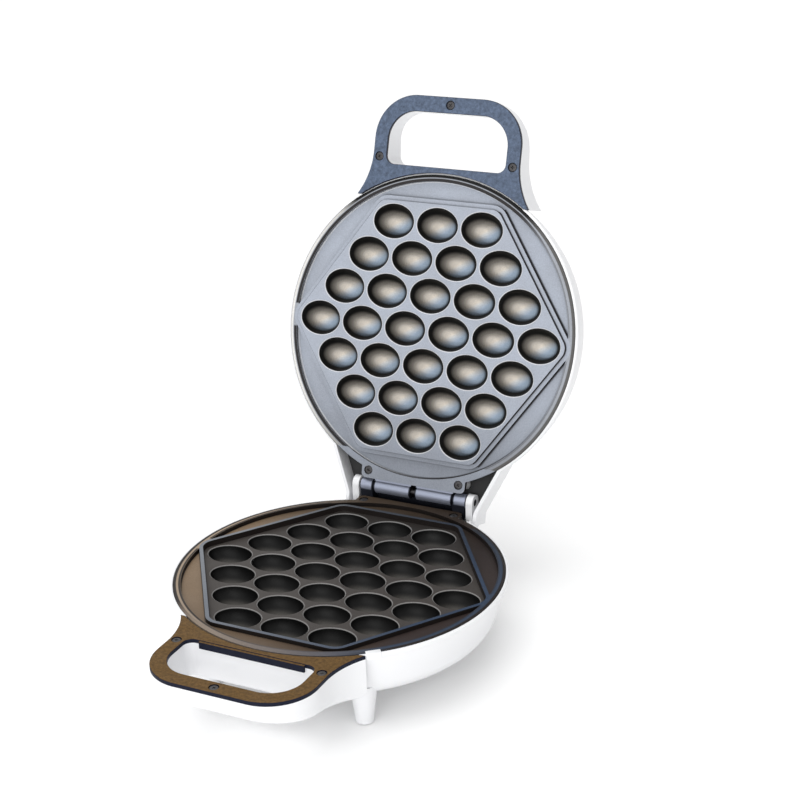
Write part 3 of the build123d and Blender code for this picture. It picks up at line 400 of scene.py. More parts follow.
def rounded_hexagon(recipe, finish):
    """Distance outward to the line round the bowls that runs parallel to their rounded hexagon."""
    x, y, _ = recipe.axes()
    across, along = recipe.size(x), recipe.size(y)
    level = finish.dam_reach - finish.dam_corner
    end_y = finish.dam_end - finish.dam_corner
    end_x = (level - SIDE_Y * end_y) / SIDE_X
    side_x = level / SIDE_X
    slanted = recipe.plus(recipe.times(across, SIDE_X), recipe.times(along, SIDE_Y))
    run = recipe.minus(recipe.times(along, SIDE_X), recipe.times(across, SIDE_Y))
    edges = recipe.math("MAXIMUM", slanted, recipe.minus(along, finish.dam_end - finish.dam_reach))

    def corner(centre_x, centre_y):
        return recipe.plus(recipe.reach(recipe.minus(across, centre_x), recipe.minus(along, centre_y)), level)

    at_end = recipe.times(recipe.over(across, end_x), recipe.over(run, SIDE_X * end_y - SIDE_Y * end_x))
    at_side = recipe.under(run, -SIDE_Y * side_x)
    with_end = recipe.pick(at_end, edges, corner(end_x, end_y))
    return recipe.pick(at_side, with_end, corner(side_x, 0.0))


class Casting:
    """Coating of a plate, with painted light and shade: light flats, walls and corners at each step painted dark as
    shade, bowls that pale towards their floors as a painted highlight.
    """

    def __init__(self, look, finish):
        self.look, self.finish = look, finish
        self.raised = look.web_level > 0
        self.recipe = recipe = Recipe(look.name, 0.45, 0.0, look.place)
        self.x, self.y, self.z = recipe.axes()
        self.along = recipe.size(self.y)
        self.radius = recipe.reach(self.x, self.y)
        self.hexagon = rounded_hexagon(recipe, finish)
        self.off_dam = recipe.over(self.hexagon, finish.dam_reach)
        self.before_tab = recipe.under(self.y, TAB_LINE)
        past_step = recipe.span(self.radius, finish.step_radius, finish.step_radius + 0.0002)
        self.on_rim = recipe.times(past_step, self.before_tab)
        self.shown = recipe.span(recipe.times(self.x, look.line_side), *SEEN_SIDE)
        if self.raised:
            self.shown = recipe.math("MAXIMUM", self.shown, recipe.span(self.y, *SEEN_FRONT))

    # Blends from one side's tone to the other's: painted light on the lighter side, painted shade on the darker.
    def across(self, tones):
        return self.recipe.blend(self.recipe.span(self.x, *TONE_SIDES), *tones)

    def bowls(self):
        """Painted light in the bowls: a warm painted highlight in the middle, a cooler one on one side, painted
        shade black up the walls.
        """
        recipe, look, finish = self.recipe, self.look, self.finish
        turn = look.place.to_3x3()
        warm, side, lean = (
            recipe.facing(turn @ Vector(way).normalized()) for way in (look.spot, look.cool, (*look.cool[:2], 0))
        )

        def greys(factor, *stops):
            return recipe.ramp(factor, [(stop, (look.shine * tone,) * 3) for stop, tone in stops])

        # Painted highlights: bright towards the warm spot and towards the cooler side.
        floors = greys(warm, (0.62, 0.0), (0.76, 0.07), (0.88, 0.18), (0.95, 0.35), (0.99, 0.60))
        glow = greys(side, (0.64, 0.0), (0.83, 0.10), (0.93, 0.31), (0.99, 0.44))
        hue = recipe.blend(recipe.span(lean, -0.05, 0.34), finish.painted_bowl_highlight, finish.bowl_tint)
        tone = recipe.blend(1.0, recipe.blend(1.0, floors, glow, "ADD"), hue, "MULTIPLY")
        return recipe.blend(recipe.span(warm, 0.62, 0.76, 1, 0), tone, finish.painted_black_shade)

    def step_line(self):
        """Painted shade along the step: a dark line, wide where the step is seen, broken at the side corners."""
        recipe = self.recipe
        width = recipe.span(self.shown, 0, 1, THIN_LINE, self.look.line_width)
        past_line = recipe.minus(recipe.minus(self.radius, self.finish.step_radius), width)
        return recipe.times(
            recipe.span(past_line, 0, 0.0003, 1, 0), recipe.span(self.shown, 0, 1, 0.4, 0.96),
            self.on_rim, self.off_dam, recipe.span(self.along, *LINE_BREAK),
        )

    def levels(self):
        """The flats' tone, and the tone of everything outside the bowls, with painted light and shade: side-to-side
        tones, a dark step line, a darker rear and dark walls.
        """
        recipe, look, finish = self.recipe, self.look, self.finish
        bare = recipe.blend(self.on_rim, self.across(look.flats), self.across(look.rims))
        flat = recipe.blend(self.step_line(), bare, finish.painted_crease_shade)
        flat = recipe.blend(self.off_dam, self.across(look.dams), flat)
        flat = recipe.blend(recipe.under(self.hexagon, look.inner_line), flat, look.web)
        flat = recipe.blend(recipe.span(self.y, *REAR_SHADE, 0, look.rear_shade), flat, (0, 0, 0))
        # Walls that turn sideways from the plate's face are painted dark as shade.
        facing = recipe.facing(look.place.to_3x3() @ Vector((0, 0, 1)))
        plain = recipe.blend(recipe.span(facing, 0.35, 0.75), finish.painted_crease_shade, flat)
        # On the lid, the foot of the step wall where it is seen gets a painted highlight.
        if self.raised:
            wall_foot = recipe.times(
                recipe.under(self.z, FOOT_BELOW), self.shown, recipe.over(self.radius, finish.step_radius - 0.0006)
            )
            plain = recipe.blend(wall_foot, plain, recipe.blend(0.5, bare, (1, 1, 1)))
        return flat, plain

    def corners(self):
        """Painted shade in the corners at the foot of the dam, the rim and the web."""
        recipe, line, foot = self.recipe, self.look.inner_line, self.look.foot
        dam, step = self.finish.dam_reach, self.finish.step_radius
        slope = recipe.minus(self.along, recipe.times(END_SLOPE, recipe.size(self.x)))
        painted_shade_weight = recipe.span(recipe.over(slope, END_REACH), 0, 1, 0.92, 0.3)
        by_dam = recipe.times(recipe.span(self.hexagon, dam + 0.3 * foot, dam + foot, 1, 0), painted_shade_weight)
        by_rim = recipe.times(
            recipe.span(self.radius, step - foot, step - 0.3 * foot), recipe.under(self.radius, step + 0.0001),
            recipe.span(self.shown, 0, 1, 1, self.look.rim_residue),
        )
        low = recipe.under(self.z, FLATS_BELOW)
        if self.raised:
            by_web = recipe.times(
                recipe.span(self.hexagon, line + 0.2 * foot, line + 0.7 * foot, 1, 0),
                recipe.over(self.hexagon, line - 0.0001), painted_shade_weight,
            )
        else:
            by_web = recipe.times(
                recipe.span(self.hexagon, line - foot, line - 0.3 * foot),
                recipe.under(self.hexagon, line + 0.0001), painted_shade_weight,
            )
        outside = recipe.times(recipe.math("MAXIMUM", by_dam, by_rim), self.off_dam, low)
        return recipe.math("MAXIMUM", outside, by_web)

    def with_edge(self, tone):
        """Puts the outer edge's tones over the others, painted light and shadow for the gap round the plate: one for
        each side and one at the front.
        """
        recipe, look, start = self.recipe, self.look, self.finish.edge_radius
        edge = recipe.blend(recipe.span(self.x, *look.edge_span), *look.edge_tones)
        front = look.edge_front or self.across(look.rims)
        edge = recipe.blend(recipe.span(self.y, *look.front_span), edge, front)
        on_edge = recipe.times(recipe.span(self.radius, start - 0.0002, start + 0.0003), self.before_tab)
        return recipe.blend(on_edge, tone, edge)

    def material(self):
        recipe, look, finish = self.recipe, self.look, self.finish
        flat, plain = self.levels()
        depth = recipe.minus(look.web_level, self.z)
        # Painted highlight: a pale ring round the mouths of the bowls.
        halo = recipe.blend(0.5 * look.shine, flat, (1, 1, 1))
        bowl = recipe.blend(recipe.span(depth, 0.0005, 0.0008), halo, self.bowls())
        inside = recipe.times(recipe.over(depth, 0.00006), recipe.under(self.hexagon, look.inner_line - 0.0006))
        tone = recipe.blend(self.corners(), recipe.blend(inside, plain, bowl), finish.painted_crease_shade)
        tone = self.with_edge(tone)
        speckle = recipe.ramp(recipe.noise(1500, 3, 0.7), ((0.38, (0.80, 0.80, 0.80)), (0.62, (1.0, 1.0, 1.0))))
        smear = recipe.ramp(recipe.noise(35, 5, 0.6), ((0.3, (0.9, 0.89, 0.88)), (0.62, (1.0, 1.0, 1.0))))
        for pattern in (speckle, smear):
            tone = recipe.blend(0.8, tone, pattern, "MULTIPLY")
        recipe.colour(tone)
        recipe.rough(recipe.span(recipe.noise(45, 4), 0.3, 0.7, 0.40, 0.52))
        recipe.set(specular_ior_level=finish.sheen)
        return recipe.bump(recipe.noise(1800, 3), 0.15, 0.00005).material


def cover_plastic(name, face, edge, outward, sheen):
    """Handle cover: a grained face, and near-black sides painted as shade."""
    recipe = Recipe(name, 0.38)
    # Faces that turn away from the cover's face are painted near-black as shade.
    facing = recipe.span(recipe.facing(outward), 0.75, 0.93)
    mottled = recipe.ramp(recipe.noise(420, 6, 0.75), ((0.36, scaled(face, 0.6)), (0.64, scaled(face, 1.3))))
    recipe.colour(recipe.blend(facing, edge, mottled))
    recipe.rough(recipe.span(recipe.noise(90, 4), 0.3, 0.7, 0.44, 0.56))
    recipe.set(specular_ior_level=sheen)
    return recipe.bump(recipe.noise(1500, 2), 0.2, 0.00005).material


def knuckle_steel(name, finish, leaf):
    """Hinge leaf with plated knuckles round the pin, painted dark as shade where they meet each other, and its
    plate.
    """
    recipe = Recipe(name, 0.42, 0.75)
    x, y, z = recipe.axes()
    from_axis = recipe.reach(recipe.minus(y, HINGE_POINT.y), recipe.minus(z, HINGE_POINT.z))
    streaks = recipe.noise(420, 4, 0.6, (1, 8, 8))
    from_middle = recipe.size(x)
    from_joint = recipe.size(recipe.minus(from_middle, LEAF_JOINT))
    # Painted shade: dark bands where two knuckles meet and at the middle of the hinge.
    meeting = recipe.math(
        "MAXIMUM", recipe.span(from_joint, 0.0011, 0.0016, 1, 0), recipe.span(from_middle, 0.0026, 0.0031, 1, 0)
    )
    knuckle = recipe.blend(meeting, finish.hinge, finish.leaf)
    tone = recipe.blend(recipe.span(from_axis, *KNUCKLE_EDGE), knuckle, leaf)
    worn = recipe.ramp(streaks, ((0.3, (0.75, 0.75, 0.75)), (0.7, (1.0, 1.0, 1.0))))
    recipe.colour(recipe.blend(0.8, tone, worn, "MULTIPLY"))
    recipe.rough(recipe.span(streaks, 0.3, 0.7, 0.44, 0.6))
    return recipe.bump(streaks, 0.08, 0.00005).material


def plated_steel(name, tone, roughness=0.3, stretch=(1, 1, 1), metallic=1.0):
    recipe = Recipe(name, roughness, metallic)
    streaks = recipe.noise(420, 4, 0.6, stretch)
    recipe.colour(recipe.ramp(streaks, ((0.3, scaled(tone, 0.75)), (0.7, scaled(tone, 1.2)))))
    recipe.rough(recipe.span(streaks, 0.3, 0.7, roughness - 0.06, roughness + 0.12))
    return recipe.bump(streaks, 0.08, 0.00005).material


def speckled(name, tone, roughness, scale=300):
    recipe = Recipe(name, roughness)
    grain = recipe.noise(scale, 4, 0.6)
    recipe.colour(recipe.ramp(grain, ((0.3, scaled(tone, 0.8)), (0.7, scaled(tone, 1.15)))))
    recipe.rough(recipe.span(grain, 0.3, 0.7, roughness - 0.05, min(1, roughness + 0.08)))
    return recipe.bump(grain, 0.1, 0.00008).material


def lens_plastic(name, tone):
    recipe = Recipe(name, 0.12)
    recipe.colour(recipe.ramp(recipe.noise(240, 3), ((0.3, scaled(tone, 0.75)), (0.7, tone))))
    recipe.rough(recipe.span(recipe.noise(600, 2), 0.3, 0.7, 0.08, 0.16))
    recipe.set(transmission_weight=0.35, coat_weight=0.4, coat_roughness=0.05)
    return recipe.bump(recipe.noise(900, 2), 0.05, 0.00003).material


# ------------------------------------------------------------------ mesh helpers

def start():
    if bpy.context.object and bpy.context.object.mode != "OBJECT":
        bpy.ops.object.mode_set(mode="OBJECT")
    bpy.ops.object.select_all(action="DESELECT")


def edit(piece, faces=None, edges=None):
    """Enters edit mode with only the faces or edges selected that a test picks."""
    bpy.ops.object.mode_set(mode="OBJECT")
    mesh = piece.data
    for part in (mesh.vertices, mesh.edges, mesh.polygons):
        part.foreach_set("select", [False] * len(part))
    if faces:
        for face in mesh.polygons:
            face.select = faces(face)
    if edges:
        for line in mesh.edges:
            line.select = edges(*(mesh.vertices[i].co for i in line.vertices))
    bpy.ops.object.mode_set(mode="EDIT")
    bpy.ops.mesh.select_mode(type="FACE" if faces else "EDGE")


def object_mode():
    bpy.ops.object.mode_set(mode="OBJECT")


def apply_modifier(piece, kind, **settings):
    start()
    piece.select_set(True)
    bpy.context.view_layer.objects.active = piece
    made = piece.modifiers.new(kind.title(), kind)
    for name, value in settings.items():
        setattr(made, name, value)
    bpy.ops.object.modifier_apply(modifier=made.name)


def settle(piece, place=None):
    """Puts a piece's place into its mesh, so that its object lies at the origin."""
    start()
    piece.select_set(True)
    bpy.context.view_layer.objects.active = piece
    if place is not None:
        piece.matrix_world = place @ piece.matrix_world
    bpy.ops.object.transform_apply(location=True, rotation=True, scale=True)


def copies(piece, places, name):
    """One object made of a copy of a piece at each place."""
    made = []
    for place in places:
        twin = piece.copy()
        twin.data = piece.data.copy()
        bpy.context.scene.collection.objects.link(twin)
        settle(twin, place)
        made.append(twin)
    start()
    for twin in made:
        twin.select_set(True)
    bpy.context.view_layer.objects.active = made[0]
    if len(made) > 1:
        bpy.ops.object.join()
    whole = bpy.context.object
    whole.name = name
    whole.data.name = name
    return whole


def turned(outline):
    """Turned piece about Z: a ring is extruded and widened along an outline of radius and height."""
    start()
    wide, low = outline[0]
    bpy.ops.mesh.primitive_circle_add(vertices=SIDES, radius=wide, fill_type="NOTHING", location=(0, 0, low))
    piece = bpy.context.object
    settle(piece)
    bpy.ops.object.mode_set(mode="EDIT")
    bpy.ops.mesh.select_mode(type="EDGE")
    bpy.ops.mesh.select_all(action="SELECT")
    for next_wide, next_low in outline[1:]:
        bpy.ops.mesh.extrude_region_move(TRANSFORM_OT_translate={"value": (0, 0, next_low - low)})
        bpy.ops.transform.resize(value=(next_wide / wide, next_wide / wide, 1), center_override=(0, 0, next_low))
        wide, low = next_wide, next_low
    bpy.ops.mesh.select_all(action="SELECT")
    bpy.ops.mesh.remove_doubles(threshold=1e-6)
    if outline[0] != outline[-1]:
        bpy.ops.mesh.fill_holes(sides=0)
    bpy.ops.mesh.select_all(action="SELECT")
    bpy.ops.mesh.normals_make_consistent(inside=False)
    object_mode()
    return piece


def smooth(piece, angle=40):
    start()
    piece.select_set(True)
    bpy.context.view_layer.objects.active = piece
    bpy.ops.object.shade_smooth_by_angle(angle=math.radians(angle))


def dress(piece, material, slot, body, *replaced):
    piece.data.materials.clear()
    piece.data.materials.append(material)
    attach(piece, body)
    if replaced:
        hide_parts(*replaced)


def points_of(node, place):
    """The points of a CAD node in the frame of its half."""
    inverse = place.inverted()
    return [inverse @ vertex.co for vertex in NODES[node].data.vertices]


def box_around(points):
    return Vector(map(min, zip(*points))), Vector(map(max, zip(*points)))


def tops(node, place, parts):
    """The middle of the top of each solid of a node, in the frame of its half."""
    groups = []
    for point in points_of(node, place):
        for group in groups:
            if (group[0] - point).xy.length < SOLID_REACH:
                group.append(point)
                break
        else:
            groups.append([point])
    if len(groups) != parts:
        raise RuntimeError(f"{node} has {len(groups)} solids instead of {parts}")
    found = []
    for group in groups:
        low, high = box_around(group)
        found.append(Vector(((low.x + high.x) / 2, (low.y + high.y) / 2, high.z)))
    return found


# ------------------------------------------------------------------ operators

class WAFFLE_OT_housings(bpy.types.Operator):
    """Finish both housings in clouded gloss plastic"""

    bl_idname = "waffle.housings"
    bl_label = "Housings"

    def execute(self, context):
        plastic = housing_plastic(context.scene.waffle_housing)
        finish_node("base_shell", plastic)
        finish_node("lid_shell", plastic)
        return {"FINISHED"}


class WAFFLE_OT_plates(bpy.types.Operator):
    """Finish both waffle plates in baked non-stick coating"""

    bl_idname = "waffle.plates"
    bl_label = "Waffle plates"

    def execute(self, context):
        finish = context.scene.waffle_plate
        plain, rim = finish.upper_flat, finish.upper_rim
        # spot and cool point to the painted highlights of the bowls; shine scales them and the painted highlight
        # round the bowls' mouths.
        upper = SimpleNamespace(
            name="Upper casting", place=LID_FRAME, web_level=0.0015, inner_line=0.0850, foot=0.0014,
            flats=(plain, plain), rims=(rim, rim), dams=(plain, plain), web=plain, rear_shade=0.3,
            spot=(-0.24, -0.12, 1), cool=(0.3, -0.25, 1), shine=1.0,
            line_side=1, line_width=0.0021, rim_residue=0.1,
            edge_tones=(finish.upper_edge, finish.shaded_edge), edge_span=(0.095, 0.04),
            edge_front=finish.painted_black_shade, front_span=(-0.075, -0.085),
        )
        lower = SimpleNamespace(
            name="Lower casting", place=BASE_FRAME, web_level=-0.0041, inner_line=0.0856, foot=0.0008,
            flats=(finish.lower_flat_painted_light, finish.lower_flat_painted_shade), rims=(finish.rim_painted_light, finish.rim_painted_shade),
            dams=(finish.dam_painted_reflection, finish.dam_painted_shade), web=finish.lower_web, rear_shade=0.6,
            spot=(0, 0, 1), cool=(-0.3, 0.25, 1), shine=0.35,
            line_side=-1, line_width=0.0013, rim_residue=1,
            edge_tones=(finish.painted_crease_shade, finish.painted_crease_shade), edge_span=(-0.095, -0.04),
            edge_front=None, front_span=(-0.075, -0.095),
        )
        finish_node("lid_plate", Casting(upper, finish).material())
        finish_node("base_plate", Casting(lower, finish).material())
        return {"FINISHED"}


class WAFFLE_OT_covers(bpy.types.Operator):
    """Finish the handle covers and the lid's inner cover"""

    bl_idname = "waffle.covers"
    bl_label = "Handle covers"

    def execute(self, context):
        finish = context.scene.waffle_cover
        outward = LID_FRAME.to_3x3() @ Vector((0, 0, 1))
        upper = cover_plastic("Upper cover", finish.upper, finish.edge, outward, finish.upper_sheen)
        lower = cover_plastic("Lower cover", finish.lower, finish.edge, (0, 0, 1), finish.lower_sheen)
        finish_node("lid_handle_cover", upper)
        finish_node("base_handle_cover", lower)
        finish_node("lid_tail_cover", speckled("Inner cover", (0.012, 0.012, 0.013), 0.6))
        return {"FINISHED"}


class WAFFLE_OT_metal(bpy.types.Operator):
    """Finish the hinge, heating tubes and heat shields"""

    bl_idname = "waffle.metal"
    bl_label = "Hinge and heating"

    def execute(self, context):
        finish = context.scene.waffle_metal
        steel = plated_steel("Hinge steel", finish.hinge, 0.42, (1, 8, 8), metallic=0.75)
        dark = plated_steel("Dark steel", finish.screw, 0.35)
        tube = plated_steel("Heating tube", finish.tube, 0.5, (1, 6, 6))
        sheet = plated_steel("Rolled sheet", finish.shield, 0.34, (1, 30, 1))
        finish_node("fuse_strap", steel)
        finish_node("lid_hinge_leaf", knuckle_steel("Lid leaf steel", finish, finish.hinge))
        finish_node("base_hinge_leaf", knuckle_steel("Base leaf steel", finish, finish.leaf))
        for node in ("hinge_pin", "hinge_pin_clips", "base_shield_screws", "lid_shield_screws", "terminal_screws",
                     "lamp_board_screws"):
            finish_node(node, dark)
        for node in ("base_heater", "lid_heater"):
            finish_node(node, tube)
        for node in ("base_heat_shield", "lid_heat_shield"):
            finish_node(node, sheet)
        return {"FINISHED"}


class WAFFLE_OT_electrics(bpy.types.Operator):
    """Finish the thermostat, fuse, terminals and lamp bodies"""

    bl_idname = "waffle.electrics"
    bl_label = "Electrics"

    def execute(self, context):
        looks = {
            "thermostat": ("Thermostat body", (0.03, 0.03, 0.032), 0.5),
            "thermal_fuse": ("Fuse ceramic", (0.72, 0.70, 0.66), 0.55),
            "terminal_block": ("Terminal block", (0.62, 0.61, 0.57), 0.5),
            "lamp_bodies": ("Lamp body", (0.70, 0.68, 0.60), 0.25),
            "lamp_board": ("Lamp board", (0.02, 0.11, 0.04), 0.45),
        }
        for node, (name, tone, roughness) in looks.items():
            finish_node(node, speckled(name, tone, roughness))
        return {"FINISHED"}


class WAFFLE_OT_pads(bpy.types.Operator):
    """Model the foot pads with a ring groove and a dimple underneath"""

    bl_idname = "waffle.pads"
    bl_label = "Foot pads"

    def execute(self, context):
        size = context.scene.waffle_small
        wide, thick, groove = size.pad_radius, size.pad_thickness, size.pad_groove
        pad = turned((
            (0.14 * wide, 1.3 * groove), (0.26 * wide, 1.3 * groove), (0.30 * wide, 0), (0.50 * wide, 0),
            (0.53 * wide, groove), (0.66 * wide, groove), (0.69 * wide, 0), (0.90 * wide, 0),
            (0.97 * wide, 0.0002), (wide, 0.0005), (wide, thick), (0.14 * wide, thick),
        ))
        rubber = speckled("Pad rubber", (0.03, 0.03, 0.031), 0.75, 500)
        for end in ("front_left", "front_right", "rear_left", "rear_right"):
            low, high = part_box(f"foot_pad_{end}")
            foot = Vector(((low.x + high.x) / 2, (low.y + high.y) / 2, low.z))
            piece = copies(pad, [Matrix.Translation(foot)], f"grooved_pad_{end}")
            smooth(piece, 30)
            dress(piece, rubber, "pad", "base", f"foot_pad_{end}")
        bpy.data.objects.remove(pad)
        return {"FINISHED"}


class WAFFLE_OT_gland(bpy.types.Operator):
    """Model the cord bush with its grooved face and gripping notches"""

    bl_idname = "waffle.gland"
    bl_label = "Cord bush"

    def execute(self, context):
        size = context.scene.waffle_small
        bore, neck, flange, long = size.bush_bore, size.bush_neck, size.bush_flange, size.bush_length
        ring = flange - 0.0008
        outline = (
            (bore, long), (neck, long), (neck, 0.0062), (ring, 0.0062), (ring, 0.0046), (neck, 0.0046),
            (neck, 0.0022), (flange, 0.0022), (flange, 0.0008), (flange - 0.0004, 0.0002), (flange - 0.0010, 0),
            (flange - 0.0015, 0), (flange - 0.0017, 0.0004), (flange - 0.0021, 0.0004), (flange - 0.0023, 0),
            (bore + 0.0008, 0), (bore + 0.0002, 0.0004), (bore, 0.0010), (bore, long),
        )
        gland = turned([(radius, long - depth) for radius, depth in outline])
        step = math.tau / SIDES

        def notch(face):
            turn = int(math.atan2(face.center.y, face.center.x) // step)
            return face.center.xy.length > flange - 0.0001 and face.center.z > long - 0.0021 and turn % 4 == 0

        edit(gland, faces=notch)
        bpy.ops.mesh.inset(thickness=0.0001, depth=-0.0004)
        object_mode()
        low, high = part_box("cord_gland")
        mouth = Vector(((low.x + high.x) / 2, high.y - long, (low.z + high.z) / 2))
        piece = copies(gland, [Matrix.Translation(mouth) @ Matrix.Rotation(-math.pi / 2, 4, "X")], "notched_gland")
        smooth(piece, 30)
        dress(piece, speckled("Gland rubber", (0.02, 0.02, 0.021), 0.6), "dark_plastic", "base", "cord_gland")
        bpy.data.objects.remove(gland)
        return {"FINISHED"}


class WAFFLE_OT_lug(bpy.types.Operator):
    """Model the white lug on the base's lip beside the root of the handle"""

    bl_idname = "waffle.lug"
    bl_label = "Lip lug"

    def execute(self, context):
        size = context.scene.waffle_small
        middle = ((size.lug_inner + size.lug_outer) / 2, 0, -size.lug_height / 2 - LUG_SINK)
        start()
        bpy.ops.mesh.primitive_cube_add(
            size=1, location=middle, scale=(size.lug_outer - size.lug_inner, size.lug_width, size.lug_height)
        )
        lug = bpy.context.object
        settle(lug)
        edit(lug, faces=lambda face: True)
        bpy.ops.mesh.bevel(offset=0.0004, segments=3)
        object_mode()
        piece = copies(lug, [BASE_FRAME @ Matrix.Rotation(LUG_TURN, 4, "Z")], "lip_lug")
        smooth(piece, 30)
        dress(piece, bpy.data.materials["Housing plastic"], "shell", "base")
        bpy.data.objects.remove(lug)
        return {"FINISHED"}


class WAFFLE_OT_lenses(bpy.types.Operator):
    """Model the two lamp lenses with their rings"""

    bl_idname = "waffle.lenses"
    bl_label = "Lamp lenses"

    def execute(self, context):
        size = context.scene.waffle_small
        wide, rise = size.lens_radius, size.lens_rise
        outline = [(0.10 * wide, 0), (0.25 * wide, 0.05 * rise), (0.35 * wide, 0.18 * rise)]
        for inner in (0.38, 0.68):
            outline += [
                (inner * wide, 0.45 * rise), ((inner + 0.08) * wide, 0.20 * rise),
                ((inner + 0.18) * wide, 0.22 * rise), ((inner + 0.27) * wide, 0.38 * rise),
            ]
        outline += [
            (wide, 0.95 * rise), (wide, size.lens_depth), (wide + 0.0014, size.lens_depth),
            (wide + 0.0014, size.lens_depth + 0.0012), (0.10 * wide, size.lens_depth + 0.0012),
        ]
        lens = turned(outline)
        for node, name, slot, tone in (
            ("power_lamp_lens", "Red lens", "lens_red", (0.42, 0.015, 0.01)),
            ("ready_lamp_lens", "Green lens", "lens_green", (0.02, 0.22, 0.04)),
        ):
            low, high = box_around(points_of(node, LID_FRAME))
            seat = Vector(((low.x + high.x) / 2, (low.y + high.y) / 2, low.z))
            piece = copies(lens, [LID_FRAME @ Matrix.Translation(seat)], node.replace("lamp_lens", "ringed_lens"))
            smooth(piece, 25)
            dress(piece, lens_plastic(name, tone), slot, "lid", node)
        bpy.data.objects.remove(lens)
        return {"FINISHED"}


class WAFFLE_OT_screws(bpy.types.Operator):
    """Model the cross-head screws of the handles and plates"""

    bl_idname = "waffle.screws"
    bl_label = "Visible screws"

    def execute(self, context):
        size = context.scene.waffle_screw
        screw = self.model(size)
        steel = plated_steel("Screw steel", context.scene.waffle_metal.screw, 0.42, metallic=0.7)
        for node, place, body, parts in (
            ("base_handle_screws", BASE_FRAME, "base", 3),
            ("lid_handle_screws", LID_FRAME, "lid", 3),
            ("base_plate_screws", BASE_FRAME, "base", 2),
            ("lid_plate_screws", LID_FRAME, "lid", 2),
        ):
            turn = 0.0
            places = []
            for top in tops(node, place, parts):
                turn += 0.55
                seat = top - Vector((0, 0, size.head_height))
                places.append(place @ Matrix.Translation(seat) @ Matrix.Rotation(turn, 4, "Z"))
            group = copies(screw, places, node.replace("screws", "cross_screws"))
            smooth(group)
            dress(group, steel, "screw", body, node)
        bpy.data.objects.remove(screw)
        return {"FINISHED"}

    def model(self, size):
        start()
        bpy.ops.mesh.primitive_cylinder_add(
            vertices=40, radius=size.head_radius, depth=size.head_height, location=(0, 0, size.head_height / 2)
        )
        screw = bpy.context.object
        settle(screw)
        top = size.head_height - 1e-5
        edit(screw, edges=lambda a, b: a.z > top and b.z > top)
        bpy.ops.mesh.bevel(offset=size.head_height * 0.62, segments=5, profile=0.6)
        edit(screw, faces=lambda face: face.normal.z < -0.9)
        bpy.ops.mesh.inset(thickness=size.head_radius - size.shank_radius)
        bpy.ops.mesh.extrude_region_move(TRANSFORM_OT_translate={"value": (0, 0, -size.shank_length)})
        object_mode()
        cutters = []
        for angle in (0, math.pi / 2):
            start()
            bpy.ops.mesh.primitive_cube_add(size=1, location=(0, 0, size.head_height))
            wing = bpy.context.object
            wing.scale = (size.head_radius * 1.15, size.recess_width, 2 * size.recess_depth)
            wing.rotation_euler.z = angle
            settle(wing)
            edit(wing, faces=lambda face: face.normal.z < -0.9)
            bpy.ops.transform.resize(value=(0.45, 0.45, 1))
            object_mode()
            cutters.append(wing)
        for wing in cutters:
            apply_modifier(screw, "BOOLEAN", operation="DIFFERENCE", object=wing, solver="EXACT")
        for wing in cutters:
            bpy.data.objects.remove(wing)
        return screw


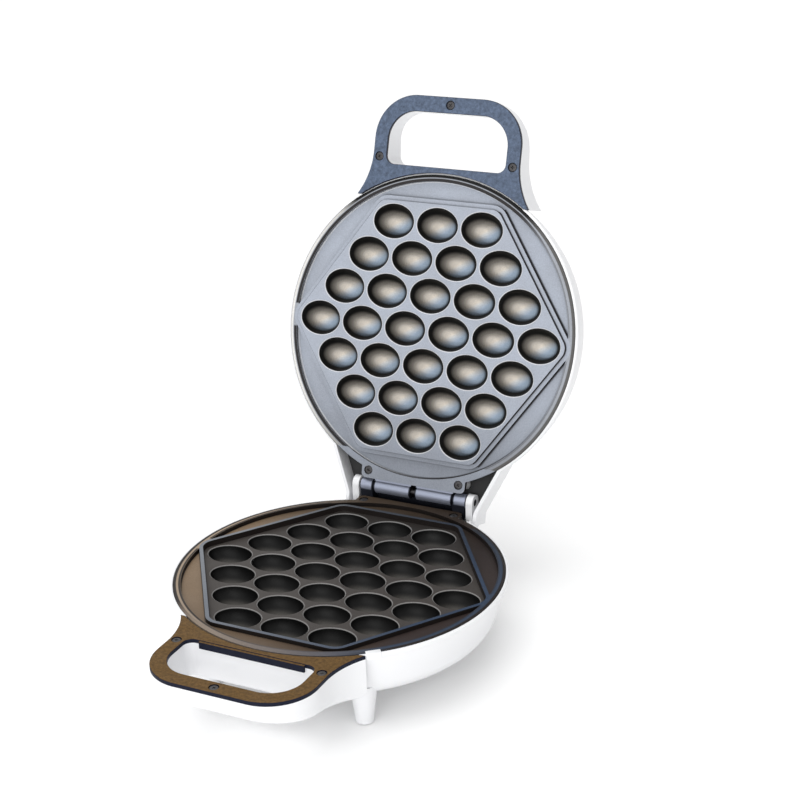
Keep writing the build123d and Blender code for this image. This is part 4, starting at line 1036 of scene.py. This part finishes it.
class WAFFLE_OT_stage(bpy.types.Operator):
    """Add the floor, the lamps and the camera"""

    bl_idname = "waffle.stage"
    bl_label = "Stage"

    def execute(self, context):
        settings = context.scene.waffle_stage
        scene = context.scene
        scene.view_settings.view_transform = "Standard"
        self.floor(settings)
        self.sky(scene, settings)
        self.sun("Key lamp", settings.key, KEY_SPREAD, KEY_FROM)
        self.lamp("Front lamp", settings.fill, FRONT_SIZE, FRONT_FROM, FRONT_AIM)
        self.camera(scene, settings)
        return {"FINISHED"}

    def floor(self, settings):
        start()
        bpy.ops.mesh.primitive_plane_add(size=40, location=(0, 0, 0))
        floor = bpy.context.object
        floor.name = "Floor"
        recipe = Recipe("Floor paint", 0.9)
        grain = recipe.noise(6, 3)
        recipe.colour(recipe.ramp(grain, ((0.3, scaled(settings.floor, 0.995)), (0.7, settings.floor))))
        recipe.set(specular_ior_level=0.1, emission_color=(1, 1, 1, 1))
        glow = recipe.times(self.seen(recipe.tree), settings.glow)
        recipe.link(glow, recipe.shader.inputs["Emission Strength"])
        floor.data.materials.append(recipe.material)

    def seen(self, tree):
        """1 for rays that the camera sends out, straight or off a mirror or through glass."""
        path = tree.nodes.new("ShaderNodeLightPath")
        total = path.outputs["Is Camera Ray"]
        for ray in ("Is Glossy Ray", "Is Transmission Ray"):
            most = tree.nodes.new("ShaderNodeMath")
            most.operation = "MAXIMUM"
            tree.links.new(total, most.inputs[0])
            tree.links.new(path.outputs[ray], most.inputs[1])
            total = most.outputs[0]
        return total

    def sky(self, scene, settings):
        world = bpy.data.worlds.new("Studio")
        scene.world = world
        world.use_nodes = True
        tree = world.node_tree
        ambient = tree.nodes["Background"]
        ambient.inputs["Color"].default_value = (1, 1, 1, 1)
        ambient.inputs["Strength"].default_value = settings.sky
        white = tree.nodes.new("ShaderNodeBackground")
        white.inputs["Color"].default_value = (1, 1, 1, 1)
        white.inputs["Strength"].default_value = 1.0
        mix = tree.nodes.new("ShaderNodeMixShader")
        tree.links.new(self.seen(tree), mix.inputs[0])
        tree.links.new(ambient.outputs[0], mix.inputs[1])
        tree.links.new(white.outputs[0], mix.inputs[2])
        tree.links.new(mix.outputs[0], tree.nodes["World Output"].inputs["Surface"])

    def sun(self, name, strength, spread, place):
        start()
        bpy.ops.object.light_add(type="SUN", location=place)
        lamp = bpy.context.object
        lamp.name = name
        lamp.data.energy = strength
        lamp.data.angle = math.radians(spread)
        lamp.rotation_euler = (-Vector(place)).to_track_quat("-Z", "Y").to_euler()

    def lamp(self, name, power, size, place, target):
        start()
        bpy.ops.object.light_add(type="AREA", location=place)
        lamp = bpy.context.object
        lamp.name = name
        lamp.data.energy = power
        lamp.data.size = size
        lamp.rotation_euler = (Vector(target) - Vector(place)).to_track_quat("-Z", "Y").to_euler()

    def camera(self, scene, settings):
        start()
        bpy.ops.object.camera_add(location=CAMERA_PLACE)
        camera = bpy.context.object
        camera.name = "Camera"
        back = Vector((
            math.sin(AZIMUTH) * math.cos(ELEVATION), -math.cos(AZIMUTH) * math.cos(ELEVATION), math.sin(ELEVATION)
        ))
        right = Vector((math.cos(AZIMUTH), math.sin(AZIMUTH), 0))
        up = back.cross(right)
        rolled_right = right * math.cos(ROLL) + up * math.sin(ROLL)
        rolled_up = up * math.cos(ROLL) - right * math.sin(ROLL)
        camera.matrix_world = Matrix((
            *((rolled_right[i], rolled_up[i], back[i], CAMERA_PLACE[i]) for i in range(3)), (0, 0, 0, 1)
        ))
        camera.data.lens = settings.lens
        camera.data.sensor_width = 36
        camera.data.clip_end = 100
        scene.camera = camera


OPERATORS = (
    WAFFLE_OT_housings,
    WAFFLE_OT_plates,
    WAFFLE_OT_covers,
    WAFFLE_OT_metal,
    WAFFLE_OT_electrics,
    WAFFLE_OT_pads,
    WAFFLE_OT_gland,
    WAFFLE_OT_lug,
    WAFFLE_OT_lenses,
    WAFFLE_OT_screws,
    WAFFLE_OT_stage,
)


class WAFFLE_PT_panel(bpy.types.Panel):
    """Sidebar panel with one button for each step"""

    bl_idname = "WAFFLE_PT_panel"
    bl_label = "Egg Waffle Maker"
    bl_space_type = "VIEW_3D"
    bl_region_type = "UI"
    bl_category = "Waffle"

    def draw(self, context):
        for made in OPERATORS:
            self.layout.operator(made.bl_idname)
        for name, kind in SETTINGS:
            box = self.layout.box()
            box.label(text=kind.__doc__)
            group = getattr(context.scene, name)
            for field in kind.__annotations__:
                box.prop(group, field)


def register():
    for name, kind in SETTINGS:
        bpy.utils.register_class(kind)
        setattr(bpy.types.Scene, name, bpy.props.PointerProperty(type=kind))
    for kind in (*OPERATORS, WAFFLE_PT_panel):
        bpy.utils.register_class(kind)


def unregister():
    for kind in (WAFFLE_PT_panel, *reversed(OPERATORS)):
        bpy.utils.unregister_class(kind)
    for name, kind in reversed(SETTINGS):
        delattr(bpy.types.Scene, name)
        bpy.utils.unregister_class(kind)


def main():
    register()
    for made in OPERATORS:
        group, step = made.bl_idname.split(".")
        getattr(getattr(bpy.ops, group), step)()


if __name__ == "__main__":
    main()
